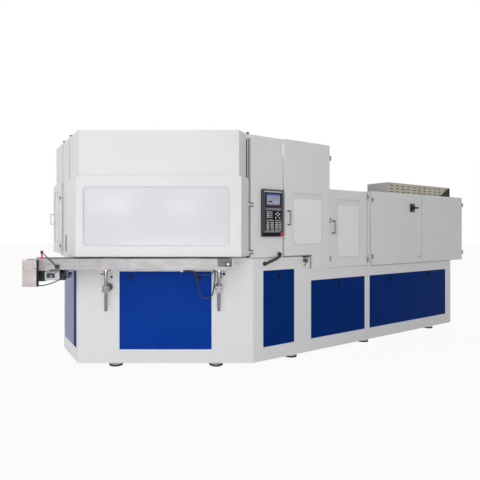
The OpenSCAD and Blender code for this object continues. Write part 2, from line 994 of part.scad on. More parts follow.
module gearmotor() {
    color([0.85, 0.85, 0.86])
    placed()
        front()
            translate([drive_shift, -150, 897]) {
                block([-2075, -52, -55], [-2005, 52, 53]);
                out_disc([-2062, -50, 0], 60, 58);
                out_disc([-2062, -100, 0], 18, 50);
                translate([-2006, 0, 0])
                    rotate([0, 90, 0])
                        cylinder(d = 104, h = 140);
                translate([-1868, 0, 0])
                    rotate([0, 90, 0])
                        cylinder(d = 96, h = 40);
                block([-1990, -66, -26], [-1900, -40, 30]);
            }
}

module support_tubes() {
    color([0.8, 0.81, 0.83])
    placed()
        front()
            for (x = tube_x)
                translate([x, tube_y, 0]) {
                    translate([0, 0, 549])
                        cylinder(d = tube_d, h = conv_z - rail_h - 10 - 549);
                    translate([0, 0, conv_z - rail_h - 22])
                        cylinder(d = 84, h = 12);
                }
}

module support_clamps() {
    color([0.55, 0.55, 0.57])
    placed()
        front()
            for (x = tube_x) {
                difference() {
                    block([x - 32, tube_y - 32, clamp_z - 30], [x + 32, tube_y + 32, clamp_z + 30]);
                    translate([x, tube_y, clamp_z - 40])
                        cylinder(d = tube_d + 2 * fit, h = 80);
                }
                translate([x, tube_y + 30, clamp_z])
                    rotate([-90, 0, 0])
                        cylinder(d = 30, h = -tube_y - 30);
                out_disc([x, 0, clamp_z], 76, 10);
                out_disc([x - 20, tube_y - 32, clamp_z], 12, 12);
                out_disc([x + 20, tube_y - 32, clamp_z], 12, 12);
            }
}

module sensor_arm() {
    color([0.1, 0.1, 0.1])
    placed()
        front()
            drive_end() {
                block([-1884, conv_y0 - 14, 968], [-1846, conv_y0, 1006]);
                rod_between([-1864, conv_y0 - 12, 980], [-2004, conv_y0 - 22, 1124], 9);
                translate([-2004, conv_y0 - 22, 1124])
                    sphere(d = 30);
                block([-2010, conv_y0 - 27, 1062], [-1994, conv_y0 - 21, 1120]);
            }
}

module conveyor_leads() {
    color([0.05, 0.05, 0.06])
    placed()
        front() {
            lead([[-690, -249, 948], [-660, -249, 948], [-630, -247, 947], [-602, -242, 940],
                [-582, -232, 918], [-570, -221, 885], [-562, -211, 845], [-551, -204, 798],
                [-538, -200, 749], [-529, -200, 716], [-505, -200, 692], [-472, -200, 683],
                [-439, -200, 692], [-415, -200, 716], [-406, -200, 749], [-398, -200, 800],
                [-391, -200, 855], [-388, -200, 905], [-388, -200, 950]], 13);
            lead([[-590, -257, 960], [-590, -257, 954], [-584.1, -257, 932], [-568, -257, 915.9],
                [-546, -256, 910], [-520, -255, 907], [-495.5, -255, 906], [-471, -255, 907],
                [-445, -256, 910], [-423, -257, 915.9], [-406.9, -257, 932], [-401, -257, 954],
                [-401, -257, 960]], 11);
            drive_end() {
                lead([[-2040, -290, 812], [-2010, -290, 812], [-1975, -286, 817], [-1940, -280, 826],
                    [-1905, -274, 837], [-1870, -268, 851], [-1840, -263, 868], [-1815, -260, 889],
                    [-1797, -258, 914], [-1787, -257, 938], [-1785, -257, 960]], 10);
                lead([[-1828, -165, 880], [-1815, -165, 880], [-1791, -171.4, 880], [-1773.4, -189, 880],
                    [-1767, -213, 880], [-1767, -235, 886], [-1767, -251, 902], [-1767, -257, 924],
                    [-1767, -257, 960]], 11);
            }
        }
}

module control_conduit() {
    color([0.05, 0.05, 0.06])
    placed()
        cable([[345, 0, 1088], [345, -24, 1088], [330, -26, 1058], [270, -26, 1030], [200, -24, 1006],
            [146, -20, 986], [146, 0, 986]], 27);
}

module air_fitting() {
    color([0.55, 0.5, 0.42])
    placed() {
        block([675, -46, 1034], [735, 0, 1048]);
        out_disc([705, 0, 1000], 44, 34);
        out_disc([705, -34, 1000], 26, 14);
        out_disc([705, 0, 946], 38, 40);
    }
}

module turret_column() {
    color([0.6, 0.61, 0.63])
    placed()
        station(0) {
            translate([0, 0, 940])
                cylinder(d = 180, h = joint_z + lift - 36 - 940);
            translate([0, 0, joint_z + lift - 66])
                cylinder(d = 240, h = 30);
            translate([0, 0, 940])
                cylinder(d = 120, h = joint_z + lift - 940);
        }
}

module turret_head() {
    z0 = joint_z + lift;
    color([0.7, 0.71, 0.73])
    placed()
        station(0)
            difference() {
                union() {
                    translate([0, 0, z0 - 35])
                        linear_extrude(70)
                            polygon([for (k = [0:2], s = [-270, 270]) turn([290, s], 120 * k)]);
                    for (k = [0:2])
                        rotate([0, 0, 120 * k])
                            block([280, -3 * rod_pitch - 8, z0 - 30], [340, 3 * rod_pitch + 8, z0 + 30]);
                    translate([0, 0, z0 + 35])
                        cylinder(d = 260, h = 50);
                    translate([0, 0, z0 + 85])
                        cylinder(d = 120, h = 60);
                }
                translate([0, 0, z0 - 40])
                    cylinder(d = 120 + 2 * fit, h = 42);
            }
}

module core_rods() {
    z0 = joint_z + lift;
    color([0.8, 0.81, 0.82])
    placed()
        for (k = [0:2], i = [-2.5:1:2.5])
            station(120 * k)
                translate([340, i * rod_pitch, z0])
                    rotate([0, 90, 0]) {
                        cylinder(d = 30, h = 56);
                        cylinder(d = rod_d, h = 190 - rod_d / 2);
                        translate([0, 0, 190 - rod_d / 2])
                            sphere(d = rod_d, $fn = 16);
                    }
}

module press_frame() {
    difference() {
        union() {
            block([400, -480, deck_z + seat], [820, 480, deck_z + 50]);
            block([400, -480, 1800], [820, 480, 1870]);
            translate([600, 0, 1870])
                cylinder(d = 220, h = 280);
            for (x = [480, 740], y = [-420, 420])
                translate([x, y, deck_z + 10])
                    cylinder(d = tie_d, h = 1880 - deck_z);
            for (x = [480, 740], y = [-420, 420])
                translate([x, y, 1870])
                    cylinder(d = 100, h = 36, $fn = 6);
        }
        translate([600, 0, 1790])
            cylinder(d = 81, h = 340);
    }
}

module press_frames() {
    color([0.35, 0.38, 0.42])
    placed()
        for (a = [0, 120])
            station(a)
                press_frame();
}

module cavity_row(z) {
    for (i = [-2.5:1:2.5])
        translate([360, i * rod_pitch, z])
            rotate([0, 90, 0]) {
                cylinder(d = 34, h = 42);
                translate([0, 0, 42])
                    cylinder(d = 46, h = 158);
            }
}

module moving_platen() {
    z0 = joint_z + open_h + 0.5;
    difference() {
        block([370, -275, z0], [610, 275, joint_z + 190]);
        cavity_row(joint_z + open_h);
    }
    difference() {
        block([410, -480, joint_z + 190], [810, 480, joint_z + 250]);
        for (x = [480, 740], y = [-420, 420])
            translate([x, y, joint_z + 180])
                cylinder(d = tie_d + 0.8, h = 90);
    }
    translate([600, 0, joint_z + 250])
        cylinder(d = 80, h = 2040 - joint_z - 250);
    translate([600, 0, joint_z + 250])
        cylinder(d = 150, h = 30);
}

module injection_platen() {
    color([0.55, 0.57, 0.6])
    placed()
        station(0)
            moving_platen();
}

module blow_platen() {
    color([0.55, 0.57, 0.6])
    placed()
        station(120)
            moving_platen();
}

module lower_moulds() {
    color([0.66, 0.67, 0.7])
    placed() {
        for (a = [0, 120])
            station(a)
                difference() {
                    block([370, -275, deck_z + 50], [610, 275, joint_z]);
                    cavity_row(joint_z);
                }
        station(0)
            block([610, -230, deck_z + 50], [670, 230, joint_z - 4]);
        station(-120)
            for (y = [-200, 200])
                difference() {
                    block([560, y - 40, deck_z + seat], [660, y + 40, 1180]);
                    translate([550, y, 1140])
                        rotate([0, 90, 0])
                            cylinder(d = 25 + 2 * fit, h = 120);
                }
    }
}

module stripper_bar() {
    color([0.75, 0.76, 0.78])
    placed()
        station(-120) {
            difference() {
                block([346, -272, 1105], [368, 272, joint_z + 4]);
                for (i = [-2.5:1:2.5])
                    translate([340, i * rod_pitch, joint_z])
                        rotate([0, 90, 0])
                            cylinder(d = 34, h = 40);
            }
            for (y = [-200, 200])
                translate([360, y, 1140])
                    rotate([0, 90, 0])
                        cylinder(d = 25, h = 380);
            block([740, -230, 1120], [756, 230, 1160]);
        }
}

module barrel() {
    color([0.5, 0.5, 0.52])
    placed()
        translate([0, axis_v, barrel_z])
            rotate([0, 90, 0]) {
                translate([0, 0, axis_u + 672])
                    cylinder(d1 = 30, d2 = 80, h = 60);
                translate([0, 0, axis_u + 732])
                    cylinder(d = 80, h = 140);
                translate([0, 0, axis_u + 870])
                    cylinder(d = 110, h = 1750 - axis_u - 870);
                for (k = [0:6])
                    translate([0, 0, 620 + k * 155])
                        cylinder(d = 138, h = 120);
            }
}

module injection_carriage() {
    color([0.3, 0.36, 0.42])
    placed()
        translate([0, axis_v, 0]) {
            for (s = [-180, 180])
                block([1600, s - 50, bed_z + 40], [2620, s + 50, bed_z + 76]);
            block([1750, -230, bed_z + 76], [2000, 230, bed_z + 120]);
            block([2480, -230, bed_z + 76], [2560, 230, 1300]);
            difference() {
                union() {
                    block([1750, -130, bed_z + 120], [2000, 130, 1300]);
                    block([1770, -110, 1300], [1980, 110, 1330]);
                }
                translate([1875, 0, 1200])
                    cylinder(d = 80, h = 140);
                for (x = [-80, 80], y = [-80, 80])
                    translate([1875 + x, y, 1306])
                        cylinder(d = 13, h = 30);
            }
            for (s = [-180, 180])
                translate([2000, s, barrel_z])
                    rotate([0, 90, 0])
                        cylinder(d = 60, h = 485);
            for (s = [-180, 180])
                translate([2555, s, barrel_z])
                    rotate([0, 90, 0])
                        cylinder(d = 120, h = 260);
            for (s = [-180, 180])
                block([1960, s - 45, bed_z + 100], [2000, s + 45, barrel_z + 45]);
            translate([1990, 0, barrel_z])
                rotate([0, 90, 0])
                    cylinder(d = 70, h = 500);
            translate([2555, 0, barrel_z])
                rotate([0, 90, 0])
                    cylinder(d = 210, h = 320);
        }
}

base_frame();
levelling_feet();
front_panel();
left_panel();
side_panel_narrow();
side_panel_middle();
side_panel_long();
rear_panels();
panel_locks();
power_pack();
guard_frame();
corner_rods();
front_upper_panel();
control_side_panel();
rear_covers();
front_door();
front_window();
front_latch();
left_door();
left_window();
rear_door();
rear_window();
side_door();
side_window();
side_handle();
barrel_door();
barrel_window();
barrel_handle();
cabinet_body();
cabinet_door_left();
cabinet_door_right();
main_switch_plate();
main_switch_knob();
roof_vent_box();
control_housing();
control_screen();
control_keypad();
emergency_stop();
conveyor_frame();
conveyor_belt();
drive_roller();
idler_roller();
drive_guard();
gearmotor();
support_tubes();
support_clamps();
sensor_arm();
conveyor_leads();
control_conduit();
air_fitting();
turret_column();
turret_head();
core_rods();
press_frames();
injection_platen();
blow_platen();
lower_moulds();
stripper_bar();
barrel();
injection_carriage();
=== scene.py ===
"""Looks of an injection blow moulding machine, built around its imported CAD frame."""
import math

import bmesh
import bpy
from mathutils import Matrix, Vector


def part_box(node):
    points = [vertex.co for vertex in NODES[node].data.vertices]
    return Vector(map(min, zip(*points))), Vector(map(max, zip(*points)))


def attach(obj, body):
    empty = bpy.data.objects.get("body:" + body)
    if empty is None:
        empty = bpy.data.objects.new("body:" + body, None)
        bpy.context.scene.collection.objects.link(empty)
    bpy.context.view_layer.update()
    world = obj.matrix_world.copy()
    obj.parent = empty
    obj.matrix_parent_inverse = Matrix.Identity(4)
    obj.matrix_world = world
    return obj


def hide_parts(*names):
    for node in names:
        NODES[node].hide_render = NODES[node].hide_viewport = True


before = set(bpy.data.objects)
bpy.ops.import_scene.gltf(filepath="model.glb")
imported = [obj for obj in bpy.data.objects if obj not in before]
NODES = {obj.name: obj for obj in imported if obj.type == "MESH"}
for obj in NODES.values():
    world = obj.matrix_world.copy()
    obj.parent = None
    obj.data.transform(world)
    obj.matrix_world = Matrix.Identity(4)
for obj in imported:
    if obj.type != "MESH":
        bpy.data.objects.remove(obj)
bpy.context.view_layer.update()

# Plan frame of the CAD source in millimetres: u along the bed, v into the machine, z above the base.
MID_U, MID_V, FOOT_H = 914.362, 1189.947, 50.0
SLANT = math.radians(30)
MM = 0.001
TO_MM = (1000, 1000, 1000)

# Sizes of the CAD source that the looks share.
DECK_Z, BED_Z, GUARD_Z, GUARD_U = 1050, 900, 2282, 1070
POST_V, BASE_W = 1040, 2400
CAB_U0, CAB_U1, CAB_Z, CAB_SPLIT = 1820, 3856, 1810, 2838
BAY_FACE, SIDE_FACE = -220, -28
RAIL_Y, RAIL_TOP = -260, 1060
TUBE_X, TUBE_Y = (-1439, -348), -145
BARREL_V, BARREL_Z = BASE_W / 2, 1150
BAND_U, BAND_STEP, BAND_LEN, BAND_COUNT = 620, 155, 120, 7
WINDOW_R = 36


def plan(u, v, z):
    """A point of the plan frame, in the row frame."""
    return Vector(((u - MID_U) * MM, (v - MID_V) * MM, (z + FOOT_H) * MM))


def mirrored(u, v, z):
    """A point of the plan frame, mirrored to the back of the machine."""
    return plan(u, BASE_W - v, z)


def slanted(x, y):
    """Plan coordinates of a point of the front frame, whose x runs along the slanted front face."""
    return (x * math.cos(SLANT) + y * math.sin(SLANT), -x * math.sin(SLANT) + y * math.cos(SLANT))


def front(x, y, z):
    """A point of the front frame, in the row frame."""
    return plan(*slanted(x, y), z)


def rear(x, y, z):
    """A point of the front frame, mirrored to the back of the machine."""
    return mirrored(*slanted(x, y), z)


LEFT_FACE = slanted(-1694, -190)[0]


def left(x, y, z):
    """A point at the left end: x runs along v, and y into the machine from the left face."""
    return plan(LEFT_FACE + y, x, z)


# Camera: level, straight on to the slanted front face.
CAMERA_AT = front(-570, -4000, 1320)
SENSOR_MM, FOCAL_MM = 36.0, 30.0
FRAME_PX, AXIS_PX = 480, (196, 231)
SIGHT = 200.0


def make_camera():
    data = bpy.data.cameras.new("camera")
    data.sensor_width = SENSOR_MM
    data.lens = FOCAL_MM
    data.shift_x = (FRAME_PX / 2 - AXIS_PX[0]) / FRAME_PX
    data.shift_y = (AXIS_PX[1] - FRAME_PX / 2) / FRAME_PX
    data.clip_end = SIGHT
    camera = bpy.data.objects.new("camera", data)
    camera.location = CAMERA_AT
    camera.rotation_euler = (math.radians(90), 0, -SLANT)
    bpy.context.scene.collection.objects.link(camera)
    bpy.context.scene.camera = camera


make_camera()


# Node helpers, where an input is a socket or a constant.
# A mix node numbers its sockets by its kind of data.
COLOUR_A, COLOUR_B, COLOUR_OUT = 6, 7, 2
VALUE_A, VALUE_B, VALUE_OUT = 2, 3, 0


def add(tree, kind, inputs=None, **settings):
    node = tree.nodes.new("ShaderNode" + kind)
    for key, value in settings.items():
        setattr(node, key, value)
    for key, value in (inputs or {}).items():
        if isinstance(value, bpy.types.NodeSocket):
            tree.links.new(value, node.inputs[key])
        else:
            node.inputs[key].default_value = value
    return node


def math_node(tree, operation, a, b=0.0):
    return add(tree, "Math", {0: a, 1: b}, operation=operation).outputs[0]


def vector_node(tree, operation, a, b=(0, 0, 0)):
    return add(tree, "VectorMath", {0: a, 1: b}, operation=operation).outputs[0]


def noise(tree, point, scale, detail=3.0, stretch=None):
    if stretch:
        point = vector_node(tree, "MULTIPLY", point, stretch)
    return add(tree, "TexNoise", {"Vector": point, "Scale": scale, "Detail": detail}).outputs["Fac"]


def spread(tree, value, low, high, start=0.3, end=0.7):
    return add(tree, "MapRange", {"Value": value, "From Min": start, "From Max": end,
                                  "To Min": low, "To Max": high}).outputs[0]


def mix_colour(tree, factor, a, b):
    inputs = {0: factor, COLOUR_A: a, COLOUR_B: b}
    return add(tree, "Mix", inputs, data_type="RGBA").outputs[COLOUR_OUT]


def mix_value(tree, factor, a, b):
    inputs = {0: factor, VALUE_A: a, VALUE_B: b}
    return add(tree, "Mix", inputs, data_type="FLOAT").outputs[VALUE_OUT]


def shade(colour, factor):
    return (*[min(1.0, c * factor) for c in colour], 1.0)


def clouded(tree, cloud, colour, dark, light):
    """A colour that drifts between two of its shades."""
    return mix_colour(tree, spread(tree, cloud, 0, 1), shade(colour, dark), shade(colour, light))


def in_plan(tree):
    """The shaded point in the plan frame, in millimetres."""
    coords = add(tree, "TexCoord").outputs["Object"]
    return add(tree, "Mapping", {"Vector": coords, "Scale": TO_MM,
                                 "Location": (MID_U, MID_V, -FOOT_H)}).outputs[0]


def in_front(tree):
    """The shaded point in the front frame, in millimetres."""
    coords = add(tree, "TexCoord").outputs["Object"]
    x = MID_U * math.cos(SLANT) - MID_V * math.sin(SLANT)
    y = MID_U * math.sin(SLANT) + MID_V * math.cos(SLANT)
    return add(tree, "Mapping", {"Vector": coords, "Scale": TO_MM, "Rotation": (0, 0, SLANT),
                                 "Location": (x, y, -FOOT_H)}).outputs[0]


# Masks: functions that give 1 inside a region of a CAD frame.
MACHINE_LO, MACHINE_HI = (-5000, -500), (9000, 3000)


def boxed(lo, hi, where=in_plan):
    def mask(tree):
        middle = [(a + b) / 2 for a, b in zip(lo, hi)]
        half = [(b - a) / 2 for a, b in zip(lo, hi)]
        scaled = vector_node(tree, "DIVIDE", vector_node(tree, "SUBTRACT", where(tree), middle), half)
        axes = add(tree, "SeparateXYZ", {0: vector_node(tree, "ABSOLUTE", scaled)}).outputs
        widest = math_node(tree, "MAXIMUM", math_node(tree, "MAXIMUM", axes[0], axes[1]), axes[2])
        return math_node(tree, "LESS_THAN", widest, 1.0)
    return mask


def boxed_front(lo, hi):
    return boxed(lo, hi, in_front)


def heights(z0, z1):
    """All of the machine between two heights."""
    return boxed((*MACHINE_LO, z0), (*MACHINE_HI, z1))


def around(axes, radius):
    """Near any of some upright axes, given as plan points."""
    def mask(tree):
        flat = vector_node(tree, "MULTIPLY", in_plan(tree), (1, 1, 0))
        total = None
        for u, v in axes:
            gap = add(tree, "VectorMath", {0: flat, 1: (u, v, 0)}, operation="DISTANCE").outputs["Value"]
            near = math_node(tree, "LESS_THAN", gap, radius)
            total = near if total is None else math_node(tree, "MAXIMUM", total, near)
        return total
    return mask


# Finishes: functions that give colour, rough, metal and height in millimetres at a point.
def paint(colour, rough=0.42, peel=0.004, wear=0.045):
    def finish(tree, point):
        cloud = noise(tree, point, 0.003)
        fine = noise(tree, point, 0.3, 2.0)
        scuff = noise(tree, point, 0.02, 5.0)
        return {"colour": clouded(tree, cloud, colour, 0.985, 1.012),
                "rough": spread(tree, scuff, rough - wear, rough + wear),
                "metal": 0.0,
                "height": spread(tree, fine, 0, peel)}
    return finish


def metal(colour, rough=0.3, stretch=(1, 1, 0.04), grain=0.6, depth=0.004, metallic=1.0):
    """Metal with a grain drawn out along one axis."""
    def finish(tree, point):
        streak = noise(tree, point, grain, 3.0, stretch)
        cloud = noise(tree, point, 0.012, 4.0)
        return {"colour": clouded(tree, cloud, colour, 0.9, 1.08),
                "rough": spread(tree, streak, rough - 0.06, rough + 0.08),
                "metal": metallic,
                "height": spread(tree, streak, 0, depth)}
    return finish


def galvanised(colour):
    """Zinc spangle with a few darker stains."""
    warp_mm = (30, 30, 30)

    def finish(tree, point):
        warp = noise(tree, point, 0.03, 3.0)
        push = add(tree, "VectorMath", {0: warp_mm, "Scale": warp}, operation="SCALE").outputs[0]
        moved = vector_node(tree, "ADD", point, push)
        cell = add(tree, "TexVoronoi", {"Vector": moved, "Scale": 0.06}).outputs["Color"]
        tone = add(tree, "SeparateColor", {0: cell}).outputs[0]
        fleck = mix_colour(tree, tone, shade(colour, 0.9), shade(colour, 1.08))
        stain = spread(tree, noise(tree, point, 0.009, 6.0, (1, 1, 2.5)), 0, 0.5, 0.4, 0.72)
        return {"colour": mix_colour(tree, stain, fleck, shade(colour, 0.62)),
                "rough": spread(tree, tone, 0.42, 0.58, 0, 1),
                "metal": 0.35,
                "height": spread(tree, tone, 0, 0.01, 0, 1)}
    return finish


def plastic(colour, rough=0.5, grain=0.6, depth=0.006):
    def finish(tree, point):
        pebble = noise(tree, point, grain, 2.0)
        cloud = noise(tree, point, 0.02, 4.0)
        return {"colour": clouded(tree, cloud, colour, 0.93, 1.08),
                "rough": spread(tree, cloud, rough - 0.05, rough + 0.06),
                "metal": 0.0,
                "height": spread(tree, pebble, 0, depth)}
    return finish


def frosted(colour, rough=0.26):
    """A milky pane with a faint haze of streaks."""
    def finish(tree, point):
        haze = noise(tree, point, 0.0016, 3.0, (1, 1, 0.5))
        wipe = noise(tree, point, 0.02, 4.0, (0.15, 0.15, 1))
        return {"colour": clouded(tree, haze, colour, 0.99, 1.008),
                "rough": spread(tree, wipe, rough - 0.01, rough + 0.012),
                "metal": 0.0,
                "height": spread(tree, wipe, 0, 0.0002)}
    return finish


def material(name, base, regions=(), glow=0.0, **settings):
    """One shader from a base finish and the finishes of masked regions over it."""
    made = bpy.data.materials.new(name)
    made.use_nodes = True
    tree = made.node_tree
    shader = tree.nodes["Principled BSDF"]
    point = in_plan(tree)
    look = base(tree, point)
    for mask, finish in regions:
        over, share = finish(tree, point), mask(tree)
        look = {key: (mix_colour if key == "colour" else mix_value)(tree, share, look[key], over[key])
                for key in look}
    for key, socket in (("colour", "Base Color"), ("rough", "Roughness"), ("metal", "Metallic")):
        if isinstance(look[key], bpy.types.NodeSocket):
            tree.links.new(look[key], shader.inputs[socket])
        else:
            shader.inputs[socket].default_value = look[key]
    if glow:
        tree.links.new(look["colour"], shader.inputs["Emission Color"])
        shader.inputs["Emission Strength"].default_value = glow
    bump = add(tree, "Bump", {"Height": look["height"], "Distance": MM, "Strength": 1.0})
    tree.links.new(bump.outputs[0], shader.inputs["Normal"])
    for socket, value in settings.items():
        shader.inputs[socket.replace("_", " ")].default_value = value
    return made


WHITE = (0.765, 0.765, 0.77)
STEEL = (0.36, 0.36, 0.37)
GALVANISED = (0.44, 0.42, 0.435)
BLACK = (0.012, 0.012, 0.014)
GRAPHITE = (0.028, 0.038, 0.047)
CHROME = (0.22, 0.22, 0.235)


def dress(node, look):
    node.data.materials.clear()
    node.data.materials.append(look)


white_finish = paint(WHITE)
white = material("white_paint", white_finish)
for node in NODES.values():
    dress(node, white)


# Shapes: a mesh of boxes, discs and plates in one of the CAD frames.
EDGE_ANGLE, EDGE_SEGMENTS = 40, 2
CORNER_STEPS = 8


def circle(centre, radius, axis, sides):
    """Points round one axis of the frame."""
    a, b = [k for k in range(3) if k != axis]
    points = []
    for i in range(sides):
        turn = 2 * math.pi * i / sides
        p = list(centre)
        p[a] += radius * math.cos(turn)
        p[b] += radius * math.sin(turn)
        points.append(tuple(p))
    return points


def rounded_outline(lo, hi, radius, y, grow=0.0):
    """A rectangle in x and z with round corners, at depth y."""
    r = radius + grow
    x0, z0, x1, z1 = lo[0] - grow, lo[1] - grow, hi[0] + grow, hi[1] + grow
    corners = ((x1 - r, z1 - r, 0), (x0 + r, z1 - r, 90), (x0 + r, z0 + r, 180), (x1 - r, z0 + r, 270))
    points = []
    for x, z, start in corners:
        for i in range(CORNER_STEPS + 1):
            turn = math.radians(start + 90 * i / CORNER_STEPS)
            points.append((x + r * math.cos(turn), y, z + r * math.sin(turn)))
    return points


def shifted(outline, push):
    return [tuple(a + b for a, b in zip(p, push)) for p in outline]


def round_edges(piece, width):
    rounder = piece.modifiers.new("edges", "BEVEL")
    rounder.width = width * MM
    rounder.segments = EDGE_SEGMENTS
    rounder.limit_method = "ANGLE"
    rounder.angle_limit = math.radians(EDGE_ANGLE)
    rounder.harden_normals = True


class Shape:
    def __init__(self, place=plan):
        self.place = place
        self.mesh = bmesh.new()

    def face_loop(self, points):
        return [self.mesh.verts.new(self.place(*p)) for p in points]

    def prism(self, outline, push):
        """A closed outline of points, pushed along a vector."""
        low = self.face_loop(outline)
        high = self.face_loop(shifted(outline, push))
        count = len(outline)
        self.mesh.faces.new(low)
        self.mesh.faces.new(high[::-1])
        for i in range(count):
            self.mesh.faces.new((low[i], high[i], high[(i + 1) % count], low[(i + 1) % count]))
        return self

    def box(self, lo, hi):
        outline = [(lo[0], lo[1], lo[2]), (hi[0], lo[1], lo[2]), (hi[0], lo[1], hi[2]), (lo[0], lo[1], hi[2])]
        return self.prism(outline, (0, hi[1] - lo[1], 0))

    def disc(self, centre, radius, push, sides=24):
        """A round or many-sided bar from its end's centre along one axis of the frame."""
        axis = max(range(3), key=lambda k: abs(push[k]))
        return self.prism(circle(centre, radius, axis, sides), push)

    def lathe(self, centre, profile, axis, sides=32):
        """Rings of (distance along the axis, radius) round one axis of the frame, closed at both ends."""
        rings = []
        for along, radius in profile:
            middle = list(centre)
            middle[axis] += along
            rings.append(self.face_loop(circle(middle, radius, axis, sides)))
        for low, high in zip(rings, rings[1:]):
            for i in range(sides):
                self.mesh.faces.new((low[i], low[(i + 1) % sides], high[(i + 1) % sides], high[i]))
        self.mesh.faces.new(rings[0][::-1])
        self.mesh.faces.new(rings[-1])
        return self

    def ring(self, outer, inner, push):
        """A frame between two outlines of the same number of points."""
        count = len(outer)
        low_out, low_in = self.face_loop(outer), self.face_loop(inner)
        high_out, high_in = self.face_loop(shifted(outer, push)), self.face_loop(shifted(inner, push))
        for i in range(count):
            j = (i + 1) % count
            for quad in ((low_out[i], low_out[j], low_in[j], low_in[i]),
                         (high_out[i], high_in[i], high_in[j], high_out[j]),
                         (low_out[i], high_out[i], high_out[j], low_out[j]),
                         (low_in[i], low_in[j], high_in[j], high_in[i])):
                self.mesh.faces.new(quad)
        return self

    def make(self, name, look, body, slot, bevel=0.0, smooth=False, stands_for=()):
        """The piece in the scene, with its body and the CAD nodes it is shown for; its slot is not used."""
        bmesh.ops.recalc_face_normals(self.mesh, faces=self.mesh.faces)
        data = bpy.data.meshes.new(name)
        self.mesh.to_mesh(data)
        self.mesh.free()
        piece = bpy.data.objects.new(name, data)
        bpy.context.scene.collection.objects.link(piece)
        data.materials.append(look)
        if smooth:
            data.shade_smooth()
        if bevel:
            round_edges(piece, bevel)
        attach(piece, body)
        for node in stands_for:
            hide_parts(node)


# Cords: routes of the CAD solids, smoothed.
CORD_POINTS = 36
SPAN_STEPS = 40


def smooth_route(points):
    """Points along a Catmull-Rom curve through a route, evenly spaced."""
    ends = [points[0] * 2 - points[1], *points, points[-1] * 2 - points[-2]]
    fine = []
    for i in range(1, len(ends) - 2):
        p0, p1, p2, p3 = ends[i - 1:i + 3]
        for k in range(SPAN_STEPS):
            t = k / SPAN_STEPS
            fine.append(0.5 * (2 * p1 + (p2 - p0) * t + (2 * p0 - 5 * p1 + 4 * p2 - p3) * t * t
                               + (3 * p1 - p0 - 3 * p2 + p3) * t ** 3))
    fine.append(points[-1])
    runs = [0.0]
    for a, b in zip(fine, fine[1:]):
        runs.append(runs[-1] + (b - a).length)
    made, at = [], 0
    for i in range(CORD_POINTS):
        goal = runs[-1] * i / (CORD_POINTS - 1)
        while at < len(runs) - 2 and runs[at + 1] < goal:
            at += 1
        share = (goal - runs[at]) / max(runs[at + 1] - runs[at], 1e-9)
        made.append(fine[at].lerp(fine[at + 1], min(1.0, share)))
    return made


def make_cord(name, route, diameter, look, body, node):
    points = smooth_route(route)
    data = bpy.data.curves.new(name, "CURVE")
    data.dimensions = "3D"
    data.bevel_depth = diameter * MM / 2
    data.bevel_resolution = 4
    data.use_fill_caps = True
    spline = data.splines.new("BEZIER")
    spline.bezier_points.add(len(points) - 1)
    for knot, p in zip(spline.bezier_points, points):
        knot.co = p
        knot.handle_left_type = knot.handle_right_type = "AUTO"
    spline.resolution_u = 6
    cord = bpy.data.objects.new(name, data)
    bpy.context.scene.collection.objects.link(cord)
    data.materials.append(look)
    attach(cord, body)
    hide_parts(node)
    bpy.context.view_layer.update()


cable_black = material("cable_sheath", plastic((0.01, 0.01, 0.011), 0.42))
# Diameter of each lead and its route in the front frame.
LEAD_ROUTES = {
    "sensor_lead": (13, (
        (-690, -249, 948), (-660, -249, 948), (-630, -247, 947), (-602, -242, 940), (-582, -232, 918),
        (-570, -221, 885), (-562, -211, 845), (-551, -204, 798), (-538, -200, 749), (-529, -200, 716),
        (-505, -200, 692), (-472, -200, 683), (-439, -200, 692), (-415, -200, 716), (-406, -200, 749),
        (-398, -200, 800), (-391, -200, 855), (-388, -200, 905), (-388, -200, 950))),
    "link_lead": (10, (
        (-590, -257, 960), (-590, -257, 954), (-584.1, -257, 932), (-568, -257, 915.9), (-546, -256, 910),
        (-520, -255, 907), (-495.5, -255, 906), (-471, -255, 907), (-445, -256, 910), (-423, -257, 915.9),
        (-406.9, -257, 932), (-401, -257, 954), (-401, -257, 960))),
    "motor_lead": (10, (
        (-2040, -290, 812), (-2010, -290, 812), (-1975, -286, 817), (-1940, -280, 826), (-1905, -274, 837),
        (-1870, -268, 851), (-1840, -263, 868), (-1815, -260, 889), (-1797, -258, 914), (-1787, -257, 938),
        (-1785, -257, 960))),
    "fan_lead": (11, (
        (-1828, -165, 880), (-1815, -165, 880), (-1791, -171.4, 880), (-1773.4, -189, 880),
        (-1767, -213, 880), (-1767, -235, 886), (-1767, -251, 902), (-1767, -257, 924), (-1767, -257, 960)))}
for name, (diameter, route) in LEAD_ROUTES.items():
    make_cord(name, [front(*p) for p in route], diameter, cable_black, "conveyor_body", "conveyor_leads")
CONDUIT_D = 27
CONDUIT = ((336, -26, 1068), (318, -26, 1053), (296, -26, 1041), (270, -26, 1030), (235, -25, 1018),
           (200, -24, 1006), (165, -22, 993), (150, -21, 987))
make_cord("panel_conduit", [plan(*p) for p in CONDUIT], CONDUIT_D, cable_black, "machine",
          "control_conduit")


